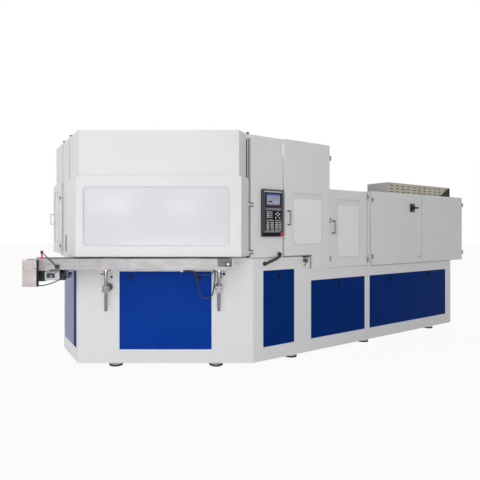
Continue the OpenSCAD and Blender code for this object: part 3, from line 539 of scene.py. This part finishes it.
# Regions of the CAD nodes that have a finish of their own.
HINGE_AXES = {
    "front": (-50, -22), "rear": (-50, BASE_W + 22), "left": (LEFT_FACE - 32, BASE_W - POST_V - 14),
    "side": (GUARD_U + 4, -30), "barrel": (1752, -9), "cabinet_left": (CAB_U0 - 7, -32),
    "cabinet_right": (CAB_U1 + 7, -32)}
HINGE_R = 9.5
hinge_knuckles = around(HINGE_AXES.values(), HINGE_R)
cabinet_seam = boxed((CAB_SPLIT - 3, -40, BED_Z), (CAB_SPLIT + 3, 0, CAB_Z))
# Dark lines on the base: a joint between its two sections, and painted shadow lines under the control side
# panel and under the cabinet.
base_seams_and_shadow_lines = (boxed((1746, -5, 0), (1749, 20, BED_Z)),
              boxed((-40, -5, DECK_Z - 8), (800, 10, DECK_Z + 1)),
              boxed((CAB_U0, -5, BED_Z - 10), (CAB_U1, 10, BED_Z + 1)))
lead_gland = boxed_front((-720, RAIL_Y - 5, 930), (-689, -230, 959.5))
rail_middle = boxed_front((-1206, RAIL_Y - 5, 900), (-320, RAIL_Y + 5, 1100))
rail_seam = boxed_front((-1207.5, RAIL_Y - 5, 900), (-1204.5, RAIL_Y + 5, 1100))
bearing_plate = boxed_front((-369, RAIL_Y - 9, 985), (-233, RAIL_Y + 5, 1100))
# The guard's right end face in near black: painted shade on the face turned from the light.
guard_end_shade = boxed_front((-2044.5, -316, 700), (-2030, -200, 1200))
guard_button = boxed_front((-2200, -330, 960), (-2000, -320.4, 990))
vent_end = boxed((2200, 101, 1800), (2292, 500, 2000))
side_pane_top = boxed((400, -200, 1660), (1100, 100, 1729))
barrel_pane_top = boxed((1150, -200, 1620), (1700, 100, 1690))
foot_pads = heights(-60, -33)
rod_tops = heights(GUARD_Z + 2, 3000)
rod_feet = heights(0, DECK_Z + 20)
left_rod_feet = boxed((-5000, 500, 0), (-500, 2000, DECK_Z + 44))
latch_plate = boxed((LEFT_FACE - 60, POST_V + 23.5, 1000), (LEFT_FACE + 10, POST_V + 100, 1400))
fitting_cap = boxed((600, -100, 1030), (800, 50, 1060))
fitting_stem = boxed((600, -100, 972), (800, 50, 1029))
motor_gearbox = boxed_front((-2300, -400, 700), (-2005.5, 100, 1000))
motor_fan = boxed_front((-1868.0, -400, 700), (-1700, 100, 1000))
motor_panel = boxed_front((-1985, -230, 876), (-1905, -215, 922))
sensor_red = boxed_front((-2014, -400, 1050), (-1990, 100, 1114))
sensor_amber = boxed_front((-2030, -400, 1121), (-2008, 100, 1150))
heater_bands = [boxed((u - 0.5, 1100, 900), (u + BAND_LEN + 0.5, 1300, 1400))
                for u in (BAND_U + BAND_STEP * k for k in range(BAND_COUNT))]
gear_plate = boxed((CAB_U0 + 70, 403.9, BED_Z + 70), (CAB_U1 - 70, 433, CAB_Z - 70))
gear_blocks = boxed((CAB_U0 + 100, 290, 1070), (CAB_U1 - 100, 403.9, 1650))

# Looks of the CAD nodes.
ALONG_U, ALONG_V = (0.04, 1, 1), (1, 0.05, 1)
dark_steel_finish = metal((0.16, 0.16, 0.165), 0.38)
black_finish = plastic(BLACK, 0.42)
# Dark paint for the base's joint and for its painted shadow lines.
seam_and_shadow_finish = paint((0.26, 0.26, 0.255))
band_finish = metal((0.62, 0.57, 0.47), 0.3, ALONG_U, 0.5)
hinged_white = material(
    "hinged_white_paint", white_finish,
    [(hinge_knuckles, dark_steel_finish), (cabinet_seam, paint((0.4, 0.4, 0.39)))])
# The base's white paint, with its joint and its painted shadow lines.
base_white = material("base_white_paint", white_finish, [(dark_line, seam_and_shadow_finish) for dark_line in base_seams_and_shadow_lines])
front_blue = material("blue_paint", paint((0.003, 0.044, 0.32), 0.45), Specular_IOR_Level=0.03)
# A darker copy of the blue paint for the side panels: painted shade for the side that turns from the light.
side_blue_shade = material("blue_paint_side_shaded", paint((0.0015, 0.027, 0.175), 0.45), Specular_IOR_Level=0.02)
# A lavender copy of the blue paint for the left panel: the blue is the paint's own, the lavender tint is a
# painted reflection of its grazing sheen.
left_blue_sheen = material("blue_paint_left_sheen", paint((0.03, 0.045, 0.27), 0.26, 0.0001, 0.004))
steel = material("brushed_steel", metal(STEEL, 0.32))
handle_steel = material("handle_steel", metal((0.22, 0.22, 0.23), 0.34))
black = material("black_plastic", black_finish)
lock_black = material("lock_plastic", plastic((0.006, 0.006, 0.008), 0.4), Specular_IOR_Level=0.12)
galvanised_steel = material(
    "galvanised_sheet", galvanised(GALVANISED),
    [(lead_gland, black_finish),
     (rail_middle, galvanised((0.45, 0.435, 0.445))),
     (rail_seam, galvanised((0.26, 0.25, 0.25))),
     (bearing_plate, metal((0.13, 0.13, 0.132), 0.45, metallic=0.4))])
guard_look = material(
    "drive_guard", galvanised((0.56, 0.51, 0.50)),
    [(guard_end_shade, plastic((0.018, 0.022, 0.016), 0.55)), (guard_button, black_finish)])
chrome = material("chrome", metal(CHROME, 0.13, (1, 1, 0.02), 0.8, 0.001))
clamp_steel = material("clamp_steel", metal((0.19, 0.19, 0.2), 0.3))
press_paint = material("press_paint", paint((0.16, 0.20, 0.25), 0.42))
mould_steel = material("ground_steel", metal((0.56, 0.57, 0.59), 0.28, ALONG_V, 0.8))
stainless = material(
    "vent_steel", metal((0.43, 0.405, 0.335), 0.42, ALONG_U, 0.5, metallic=0.6),
    [(vent_end, paint((0.50, 0.51, 0.50)))])
belt_rubber = material("belt", plastic((0.06, 0.075, 0.07), 0.55, 0.25, 0.08))
red = material("red_plastic", plastic((0.60, 0.018, 0.012), 0.25))
housing_grey = material("panel_housing", plastic(GRAPHITE, 0.4))
acrylic = material("acrylic_pane", frosted((0.70, 0.71, 0.745), 0.16))
# A lighter copy of the pane colour for the side and barrel windows: painted light for the less lit side, with
# darker bands at the top of these panes.
acrylic_side_lit = material(
    "acrylic_pane_side_lit", frosted((0.85, 0.85, 0.855)),
    [(side_pane_top, frosted((0.72, 0.715, 0.75))), (barrel_pane_top, frosted((0.75, 0.745, 0.765)))])
foot_look = material(
    "foot", metal((0.50, 0.50, 0.51), 0.4), [(foot_pads, plastic((0.03, 0.03, 0.032), 0.6))])
rod_look = material(
    "guide_rod", metal((0.40, 0.40, 0.41), 0.3),
    [(ends, black_finish) for ends in (rod_tops, rod_feet, left_rod_feet)])
latch_look = material("latch", plastic(BLACK, 0.4), [(latch_plate, metal((0.40, 0.42, 0.42), 0.35))])
fitting_look = material(
    "air_fitting", metal((0.62, 0.61, 0.58), 0.25),
    [(fitting_cap, plastic((0.03, 0.03, 0.03), 0.5)), (fitting_stem, metal((0.22, 0.18, 0.13), 0.35))])
motor_look = material(
    "gearmotor", paint((0.74, 0.74, 0.75), 0.4),
    [(motor_gearbox, paint((0.02, 0.021, 0.023), 0.5)),
     (motor_fan, plastic((0.015, 0.015, 0.016), 0.5)),
     (motor_panel, plastic((0.025, 0.028, 0.045), 0.35))])
sensor_look = material(
    "sensor_arm", plastic(BLACK, 0.35),
    [(sensor_red, plastic((0.75, 0.02, 0.015), 0.4)), (sensor_amber, plastic((0.7, 0.42, 0.08), 0.3))])
heater_look = material(
    "barrel", metal((0.30, 0.29, 0.28), 0.42, ALONG_U, 0.5), [(band, band_finish) for band in heater_bands])
power_look = material("power_pack", paint((0.06, 0.13, 0.22), 0.4))
cabinet_look = material(
    "cabinet_paint", white_finish,
    [(hinge_knuckles, dark_steel_finish),
     (gear_plate, galvanised((0.50, 0.50, 0.49))),
     (gear_blocks, plastic((0.10, 0.105, 0.11), 0.45))])

NODE_LOOKS = {
    front_blue: "front_panel", left_blue_sheen: "left_panel",
    side_blue_shade: "side_panel_narrow side_panel_middle side_panel_long rear_panels",
    hinged_white: "guard_frame control_side_panel rear_covers front_door left_door rear_door side_door"
                  " barrel_door cabinet_door_left cabinet_door_right",
    base_white: "base_frame", cabinet_look: "cabinet_body",
    acrylic: "front_window left_window rear_window", acrylic_side_lit: "side_window barrel_window",
    galvanised_steel: "conveyor_frame", guard_look: "drive_guard", clamp_steel: "support_clamps",
    steel: "drive_roller idler_roller turret_column", handle_steel: "side_handle barrel_handle",
    chrome: "support_tubes core_rods",
    black: "main_switch_plate main_switch_knob", lock_black: "panel_locks",
    press_paint: "press_frames injection_carriage",
    mould_steel: "injection_platen blow_platen lower_moulds stripper_bar turret_head",
    stainless: "roof_vent_box", belt_rubber: "conveyor_belt", red: "emergency_stop",
    housing_grey: "control_housing", foot_look: "levelling_feet",
    rod_look: "corner_rods", latch_look: "front_latch", fitting_look: "air_fitting", motor_look: "gearmotor",
    sensor_look: "sensor_arm", heater_look: "barrel", power_look: "power_pack"}
for look, names in NODE_LOOKS.items():
    for name in names.split():
        dress(NODES[name], look)

# Operator panel: membrane, display and keys.
PANEL_FACE = -30.0
MEMBRANE_TOP, TRIM_TOP, BEZEL_TOP = PANEL_FACE - 1, PANEL_FACE - 1.8, PANEL_FACE - 2
DISPLAY_TOP, KEY_TOP = PANEL_FACE - 2.6, PANEL_FACE - 3.4
key_light = material("key_light", plastic((0.52, 0.53, 0.55), 0.4))
key_white = material("key_white", plastic((0.80, 0.80, 0.80), 0.4))
key_mid = material("key_mid", plastic((0.27, 0.275, 0.29), 0.45))
key_grey = material("key_grey", plastic((0.14, 0.145, 0.155), 0.45))
membrane = material("membrane", plastic((0.03, 0.041, 0.052), 0.45))
panel_black = material("panel_black", plastic((0.006, 0.006, 0.008), 0.3), Specular_IOR_Level=0.12)


def screen_area(u0, z0, u1, z1):
    return boxed((u0, -60, z0), (u1, 0, z1))


display = material(
    "display", plastic((0.27, 0.30, 0.42), 0.2),
    [(screen_area(100, 1684, 400, 1800), plastic((0.035, 0.05, 0.30), 0.2)),
     (screen_area(100, 1500, 400, 1592), plastic((0.16, 0.035, 0.11), 0.2)),
     (screen_area(172, 1612, 222, 1627), plastic((0.02, 0.02, 0.04), 0.2)),
     (screen_area(255, 1663, 306, 1671), plastic((0.38, 0.08, 0.10), 0.2)),
     (screen_area(172, 1640, 306, 1643), plastic((0.28, 0.32, 0.45), 0.2)),
     (screen_area(240, 1600, 306, 1632), plastic((0.33, 0.37, 0.48), 0.2))],
    glow=0.1)


def make_panel():
    Shape().box((113, MEMBRANE_TOP, 1304), (363, PANEL_FACE, 1733)).make(
        "panel_membrane", membrane, "machine", "keypad", 0.4, stands_for=["control_keypad"])
    bezel = Shape()
    for u0, z0, u1, z1 in ((134, 1563, 346, 1712), (132, 1319, 346, 1527)):
        bezel.prism(rounded_outline((u0, z0), (u1, z1), 5, BEZEL_TOP), (0, 1, 0))
    bezel.prism(rounded_outline((104, 1266), (318, 1301), 4, PANEL_FACE - 1.4), (0, 1.4, 0))
    bezel.make("panel_bezel", panel_black, "machine", "screen")
    Shape().box((151, DISPLAY_TOP, 1577), (325, BEZEL_TOP, 1702)).make(
        "panel_display", display, "machine", "screen", 0.2, stands_for=["control_screen"])
    trim = Shape().box((120, TRIM_TOP, 1715), (356, MEMBRANE_TOP, 1727))
    trim.box((116, TRIM_TOP, 1310), (330, MEMBRANE_TOP, 1315))
    trim.make("panel_trim", key_light, "machine", "keypad", 0.3)


def make_keys():
    """The keys, and the head of the emergency stop."""
    function_keys, light_keys, arrows = Shape(), Shape(), Shape()
    for i in range(8):
        function_keys.box((142 + 25 * i, KEY_TOP, 1535), (160 + 25 * i, MEMBRANE_TOP, 1552))
    for i, keys in enumerate((light_keys, function_keys, function_keys)):
        for k in range(4):
            keys.box((151 + 26 * i, KEY_TOP, 1452 + 18 * k), (172 + 26 * i, BEZEL_TOP, 1466 + 18 * k))
    for u in (150, 176, 201, 227, 264, 292, 318):
        light_keys.box((u, KEY_TOP, 1424), (u + 15, BEZEL_TOP, 1435))
    columns = ((147, 163), (166, 182), (202, 219), (222, 240), (261, 280), (283, 303), (315, 328), (331, 343))
    for z in (1331, 1353, 1371, 1389, 1408):
        for u0, u1 in columns:
            light_keys.box((u0, KEY_TOP, z - 6), (u1, BEZEL_TOP, z + 6))
    for u, z in ((297, 1509), (271, 1494), (319, 1494), (295, 1479), (270, 1457), (320, 1457)):
        arrows.disc((u, KEY_TOP, z), 9.5, (0, 1.4, 0), 4)
    function_keys.make("panel_function_keys", key_mid, "machine", "keypad", 1.0)
    light_keys.make("panel_light_keys", key_light, "machine", "keypad", 1.0)
    arrows.make("panel_arrow_keys", key_white, "machine", "keypad", 0.8)
    profile = [(-14, 8.4), (-40, 8.4), (-41, 18), (-45, 22.5), (-49, 23.5), (-53, 22), (-56, 16), (-57, 7),
               (-57.2, 1)]
    Shape().lathe((344, 0, 1284), profile, 1).make(
        "stop_head", red, "stop_body", "red_plastic", smooth=True, stands_for=["emergency_stop"])


make_panel()
make_keys()

# Rubber profiles round the windows: a lip on the sheet and a lining of the opening.
gasket_look = material("window_gasket", plastic((0.65, 0.65, 0.71), 0.5))
gasket_pale = material("window_gasket_pale", plastic((0.66, 0.66, 0.67), 0.5))
WINDOWS = (
    ("front_gasket", front, (-1641, 1180), (-254, 1740), BAY_FACE, gasket_look, "front_door_body"),
    ("rear_gasket", rear, (-1641, 1180), (-254, 1740), BAY_FACE, gasket_look, "rear_door_body"),
    ("left_gasket", left, (1449.5, 1205), (1677.5, 1757), -30, gasket_look, "left_door_body"),
    ("side_gasket", plan, (511, 1174), (949, 1727), SIDE_FACE, gasket_pale, "side_door_body"),
    ("barrel_gasket", plan, (1221, 1013), (1613, 1688), 0, gasket_pale, "barrel_door_body"))
GASKET_LIP, GASKET_BITE, GASKET_PROUD, GASKET_GAP, SHEET = 4.0, 7.0, 2.0, 0.3, 5.0
for name, place, lo, hi, face, look, body in WINDOWS:
    profile = Shape(place)
    profile.ring(rounded_outline(lo, hi, WINDOW_R, face - GASKET_PROUD, GASKET_LIP),
                 rounded_outline(lo, hi, WINDOW_R, face - GASKET_PROUD, -GASKET_BITE), (0, GASKET_PROUD, 0))
    profile.ring(rounded_outline(lo, hi, WINDOW_R, face, -GASKET_GAP),
                 rounded_outline(lo, hi, WINDOW_R, face, -GASKET_BITE), (0, SHEET, 0))
    profile.make(name, look, body, "rubber", 0.6)

# Fasteners. The washer's sizes are shares of the whole head.
dark_screw = material("dark_screw", metal((0.06, 0.06, 0.062), 0.4))
WASHER_R, WASHER_H = 1.25, 0.3


def screw_heads(name, place, spots, radius, height, body, look=dark_screw):
    """Hexagon heads with a washer, pointing out of the face that carries them."""
    heads = Shape(place)
    washer = height * WASHER_H
    for x, y, z in spots:
        heads.disc((x, y, z), radius * WASHER_R, (0, -washer, 0), 16)
        heads.disc((x, y - washer, z), radius, (0, washer - height, 0), 6)
    heads.make(name, look, body, "steel", min(0.8, radius * 0.15))


HINGE_SCREWS = [(u, -14, z + dz) for u in (-32, -13) for z in (1110, 1582) for dz in (-14, 14)]
BEARING_SCREWS = [(-271 + i * 22, -264, 1010 + k * 13) for i in (-1, 1) for k in (-1, 1)]
CLAMP_BOLTS = [(x + dx, TUBE_Y - 44, 761) for x in TUBE_X for dx in (-20, 20)]
screw_heads("front_hinge_screws", plan, HINGE_SCREWS, 6.5, 5, "machine")
screw_heads("rear_hinge_screws", mirrored, HINGE_SCREWS, 6.5, 5, "machine")
screw_heads("bearing_screws", front, [*BEARING_SCREWS, (-323, RAIL_Y, 1010)], 6, 6, "conveyor_body")
screw_heads("wall_bolts", front, [(-1414, 0, 860), (-322, 0, 860)], 10, 8, "machine")
screw_heads("clamp_bolts", front, CLAMP_BOLTS, 7, 6, "machine", clamp_steel)

# Guide strips on the conveyor, and a knob and a lever on its tubes.
dark_strip = material("dark_strip", metal((0.20, 0.20, 0.205), 0.4, ALONG_U))
strips = Shape(front)
for x0, x1 in ((-1425, -1290), (-668, -535)):
    strips.box((x0, RAIL_Y - 3, RAIL_TOP - 4), (x1, RAIL_Y + 22, RAIL_TOP + 5))
strips.make("guide_strips", dark_strip, "conveyor_body", "steel", 1.0)
LEVER_Z = 905
KNOB = [(14, 5), (34, 5), (35, 9), (40, 13), (48, 14), (56, 12), (60, 6), (60.5, 1)]
knob = Shape(front).lathe((TUBE_X[1], TUBE_Y, LEVER_Z), KNOB, 0, 20)
knob.make("tube_knob", black, "conveyor_body", "black_plastic", smooth=True)
lever = Shape(front)
lever.lathe((TUBE_X[0], TUBE_Y, LEVER_Z), [(-14, 5), (-34, 5), (-35, 7), (-40, 7), (-41, 3)], 0, 16)
lever.lathe((TUBE_X[0] - 38, TUBE_Y - 26, LEVER_Z), [(0, 3), (2, 6), (50, 6), (52, 3)], 1, 16)
lever.make("tube_lever", clamp_steel, "conveyor_body", "steel", smooth=True)

# Speed dial and fan ribs of the gearmotor.
dial = Shape(front).lathe((-1942, -216, 892), [(-7, 3), (-6.5, 7), (0, 8)], 1, 20)
dial.make("speed_dial", key_white, "conveyor_body", "motor", smooth=True)
ribs = Shape(front)
for i in range(5):
    ribs.lathe((-1864 + 7.4 * i, -150, 897), [(0, 40), (0.6, 50), (3.2, 50), (3.8, 40)], 0, 32)
ribs.make("fan_ribs", black, "conveyor_body", "motor")

# Elbows that carry the conduit at both ends.
ELBOW_R = 17
elbows = Shape()
for u, v, z in ((341, -27, 1080), (147, -21, 986)):
    profile = [(0, ELBOW_R + 5), (-4, ELBOW_R + 5), (-5, ELBOW_R), (v * 0.6, ELBOW_R), (v, ELBOW_R - 2),
               (v - 10, ELBOW_R - 7), (v - 14, 4)]
    elbows.lathe((u, 0, z), profile, 1, 24)
elbows.make("conduit_elbows", black, "machine", "rubber", smooth=True, stands_for=["control_conduit"])

# Lock insert on the cabinet door, and a black plate at the end of the vent box, which is painted shade of its
# dark end.
LOCK_U, LOCK_Z = CAB_SPLIT - 68, 983
insert = Shape().disc((LOCK_U, -37, LOCK_Z), 10.5, (0, -2, 0), 24)
insert.box((LOCK_U - 1.5, -40, LOCK_Z - 7), (LOCK_U + 1.5, -39, LOCK_Z + 7))
insert.make("lock_insert", black, "cabinet_left_body", "black_plastic", 0.4)
# A black plate that paints the shade at the end of the vent box.
end_shade_plate = Shape().prism([(3500, 98, 1812), (3758, 98, 1812), (3758, 98, 1956), (3690, 98, 1930)], (0, -3, 0))
end_shade_plate.box((3735, 92, 1812), (3758, 98, 1950))
end_shade_plate.make("vent_end_shade", panel_black, "machine", "black_plastic", 0.8)

# Near-black sheet channels behind the two rods beside the bays: painted shade of the slots the rods stand in.
rod_shade_channel = material("rod_shade_channel", paint((0.06, 0.06, 0.06)))
CHANNEL_U0, CHANNEL_U1, CHANNEL_V = -82, -20, 52
CHANNEL_Z0, CHANNEL_Z1 = 1812, GUARD_Z - 44
CHANNEL_T, CHANNEL_LIP = 3, 10
for name, place in (("front_rod_channel", plan), ("rear_rod_channel", mirrored)):
    channel = Shape(place)
    channel.box((CHANNEL_U0, CHANNEL_V, CHANNEL_Z0), (CHANNEL_U1, CHANNEL_V + CHANNEL_T, CHANNEL_Z1))
    for u in (CHANNEL_U0, CHANNEL_U1 - CHANNEL_T):
        channel.box((u, CHANNEL_V - CHANNEL_LIP, CHANNEL_Z0), (u + CHANNEL_T, CHANNEL_V, CHANNEL_Z1))
    channel.make(name, rod_shade_channel, "machine", "white_paint", 0.5)

# Black sheet behind the slots of the vent box: painted shade of the box's inside, seen through the slots.
VENT_U, VENT_STEP, VENT_SLOT, VENT_COUNT = 2350, 125, 62, 11
slot_shade = Shape().box((2300, 112, CAB_Z + 8), (3750, 115, CAB_Z + 142))
for k in range(VENT_COUNT):
    u = VENT_U + VENT_STEP * k
    for z in (CAB_Z + 28, CAB_Z + 68, CAB_Z + 108):
        slot_shade.box((u, 105, z - 5), (u + VENT_SLOT, 112, z))
slot_shade.make("vent_slot_shade", panel_black, "machine", "black_plastic")

# Folded edge of the left panel, in the darker copy of the blue paint, which is painted shade.
panel_low, panel_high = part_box("left_panel")
edge_u, edge_v = panel_low[0] / MM + MID_U, panel_low[1] / MM + MID_V
edge_z0, edge_z1 = panel_low[2] / MM - FOOT_H, panel_high[2] / MM - FOOT_H
edge = Shape().box((edge_u - 1.5, edge_v, edge_z0), (edge_u, edge_v + 90, edge_z1))
edge.box((edge_u - 3, edge_v, edge_z0), (edge_u - 1.5, edge_v + 10, edge_z1))
edge.make("left_panel_edge", side_blue_shade, "machine", "blue_paint", 0.4)

# Gear inside the electrical cabinet.
duct_grey = material("duct_grey", plastic((0.42, 0.44, 0.45), 0.5))
gear_cover = material("gear_cover", plastic((0.50, 0.51, 0.50), 0.45))
DUCT_Z, DUCT_FACE, DUCT_BACK = (1225, 1445), 340, 404
FINGER_STEP, FINGER_W, FINGER_COUNT = 25, 14, 70
GEAR_Z, GEAR_STEP, GEAR_COUNT = (1080, 1300, 1520), 200, 9


def make_cabinet_gear():
    ducts, covers, toggles = Shape(), Shape(), Shape()
    for z in DUCT_Z:
        ducts.box((CAB_U0 + 140, DUCT_FACE, z), (CAB_U1 - 140, DUCT_FACE + 4, z + 50))
        for k in range(FINGER_COUNT):
            u = CAB_U0 + 145 + k * FINGER_STEP
            for dz in (2, 45):
                ducts.box((u, DUCT_FACE + 4, z + dz), (u + FINGER_W, DUCT_BACK, z + dz + 3))
    for z in GEAR_Z:
        for k in range(GEAR_COUNT):
            u = CAB_U0 + 160 + k * GEAR_STEP
            covers.box((u + 6, 286, z + 70), (u + 114, 294, z + 112))
            for j in range(4):
                toggles.disc((u + 20 + j * 26, 286, z + 91), 7, (0, -3, 0), 12)
            toggles.box((u + 45, 284, z + 22), (u + 75, 294, z + 46))
    ducts.make("wire_ducts", duct_grey, "machine", "dark_plastic")
    covers.make("gear_covers", gear_cover, "machine", "dark_plastic", 2.0)
    toggles.make("gear_toggles", key_grey, "machine", "black_plastic", 0.6)


make_cabinet_gear()

# Terminal boxes and clamp bolts of the heater bands.
ceramic = material("ceramic_box", plastic((0.60, 0.58, 0.54), 0.5))
terminal_boxes, clamps = Shape(), Shape()
for k in range(BAND_COUNT):
    middle = BAND_U + BAND_STEP * k + BAND_LEN / 2
    terminal_boxes.box((middle - 24, BARREL_V - 20, BARREL_Z + 66),
                       (middle + 24, BARREL_V + 20, BARREL_Z + 92))
    for u in (middle - 40, middle + 40):
        clamps.box((u - 7, BARREL_V - 80, BARREL_Z - 14), (u + 7, BARREL_V - 66, BARREL_Z + 14))
        clamps.disc((u, BARREL_V - 74, BARREL_Z - 22), 4, (0, 0, 44), 12)
terminal_boxes.make("heater_terminals", ceramic, "carriage_body", "steel", 2.0)
clamps.make("heater_clamps", dark_strip, "carriage_body", "steel", 0.6)

# Rounded edges of the CAD nodes, in millimetres.
EDGE_WIDTH = 1.6
OTHER_EDGES = {
    "core_rods": 0.8, "roof_vent_box": 0.8, "conveyor_belt": 0.8, "main_switch_knob": 3.0,
    "main_switch_plate": 4.0, "control_housing": 3.0, "side_handle": 2.0, "barrel_handle": 2.0,
    "panel_locks": 2.0, "front_panel": 2.0, "left_panel": 2.0, "side_panel_narrow": 2.0,
    "side_panel_middle": 2.0, "side_panel_long": 2.0, "base_frame": 4.0}
for name, node in NODES.items():
    if not node.hide_render:
        round_edges(node, OTHER_EDGES.get(name, EDGE_WIDTH))


# Floor, light and backdrop.
FLOOR_HALF = 40.0
FLOOR_COLOUR, FLOOR_ROUGH = (0.86, 0.86, 0.86, 1), 0.9
FLOOR_GLOW = 0.93
WORLD_LEVEL = 0.42


def seen_directly(tree):
    """1 for rays from the camera, a mirror or a pane, which see the backdrop as plain white."""
    path = add(tree, "LightPath").outputs
    seen = math_node(tree, "MAXIMUM", path["Is Camera Ray"], path["Is Glossy Ray"])
    return math_node(tree, "MAXIMUM", seen, path["Is Transmission Ray"])


def make_floor():
    mesh = bpy.data.meshes.new("floor")
    corners = [(x * FLOOR_HALF, y * FLOOR_HALF, 0) for x, y in ((-1, -1), (1, -1), (1, 1), (-1, 1))]
    mesh.from_pydata(corners, [], [(0, 1, 2, 3)])
    floor = bpy.data.objects.new("floor", mesh)
    bpy.context.scene.collection.objects.link(floor)
    look = bpy.data.materials.new("floor")
    look.use_nodes = True
    tree = look.node_tree
    shader = tree.nodes["Principled BSDF"]
    shader.inputs["Base Color"].default_value = FLOOR_COLOUR
    shader.inputs["Roughness"].default_value = FLOOR_ROUGH
    glow = add(tree, "Emission", {"Strength": 1.0})
    share = math_node(tree, "MULTIPLY", seen_directly(tree), FLOOR_GLOW)
    both = add(tree, "MixShader", {0: share, 1: shader.outputs[0], 2: glow.outputs[0]})
    tree.links.new(both.outputs[0], tree.nodes["Material Output"].inputs["Surface"])
    mesh.materials.append(look)


def make_world():
    world = bpy.data.worlds.new("studio")
    bpy.context.scene.world = world
    world.use_nodes = True
    tree = world.node_tree
    background = tree.nodes["Background"]
    background.inputs["Color"].default_value = (1, 1, 1, 1)
    level = mix_value(tree, seen_directly(tree), WORLD_LEVEL, 1.0)
    tree.links.new(level, background.inputs["Strength"])


def make_lamp(name, at, target, size, watts):
    data = bpy.data.lights.new(name, "AREA")
    data.energy = watts
    if isinstance(size, tuple):
        data.shape = "RECTANGLE"
        data.size, data.size_y = size
    else:
        data.size = size
    lamp = bpy.data.objects.new(name, data)
    lamp.location = at
    lamp.rotation_euler = (Vector(target) - Vector(at)).to_track_quat("-Z", "Y").to_euler()
    bpy.context.scene.collection.objects.link(lamp)


# Name, place and target in the row frame, size in metres, watts.
LAMPS = (
    ("key", front(-1300, -6200, 4100), front(-900, 0, 1300), 3.4, 70),
    ("low_fill", front(-900, -5500, 600), front(-900, 0, 500), (3.0, 0.5), 64),
    ("strip_left", front(-2731, -6728, 2014), front(-1364, BAY_FACE, 1575), (1.05, 0.22), 5),
    ("strip_right", front(-866, -6728, 1938), front(-679, BAY_FACE, 1547), (0.75, 0.22), 4),
    ("fill", (-10.4, -1.6, 3.0), (-2.4, 0, 1.3), 4.0, 150),
    ("back", (7.0, 7.5, 4.5), (0.5, 0.5, 1.2), 4.0, 200))
make_floor()
make_world()
for lamp in LAMPS:
    make_lamp(*lamp)
bpy.context.scene.view_settings.view_transform = "Standard"
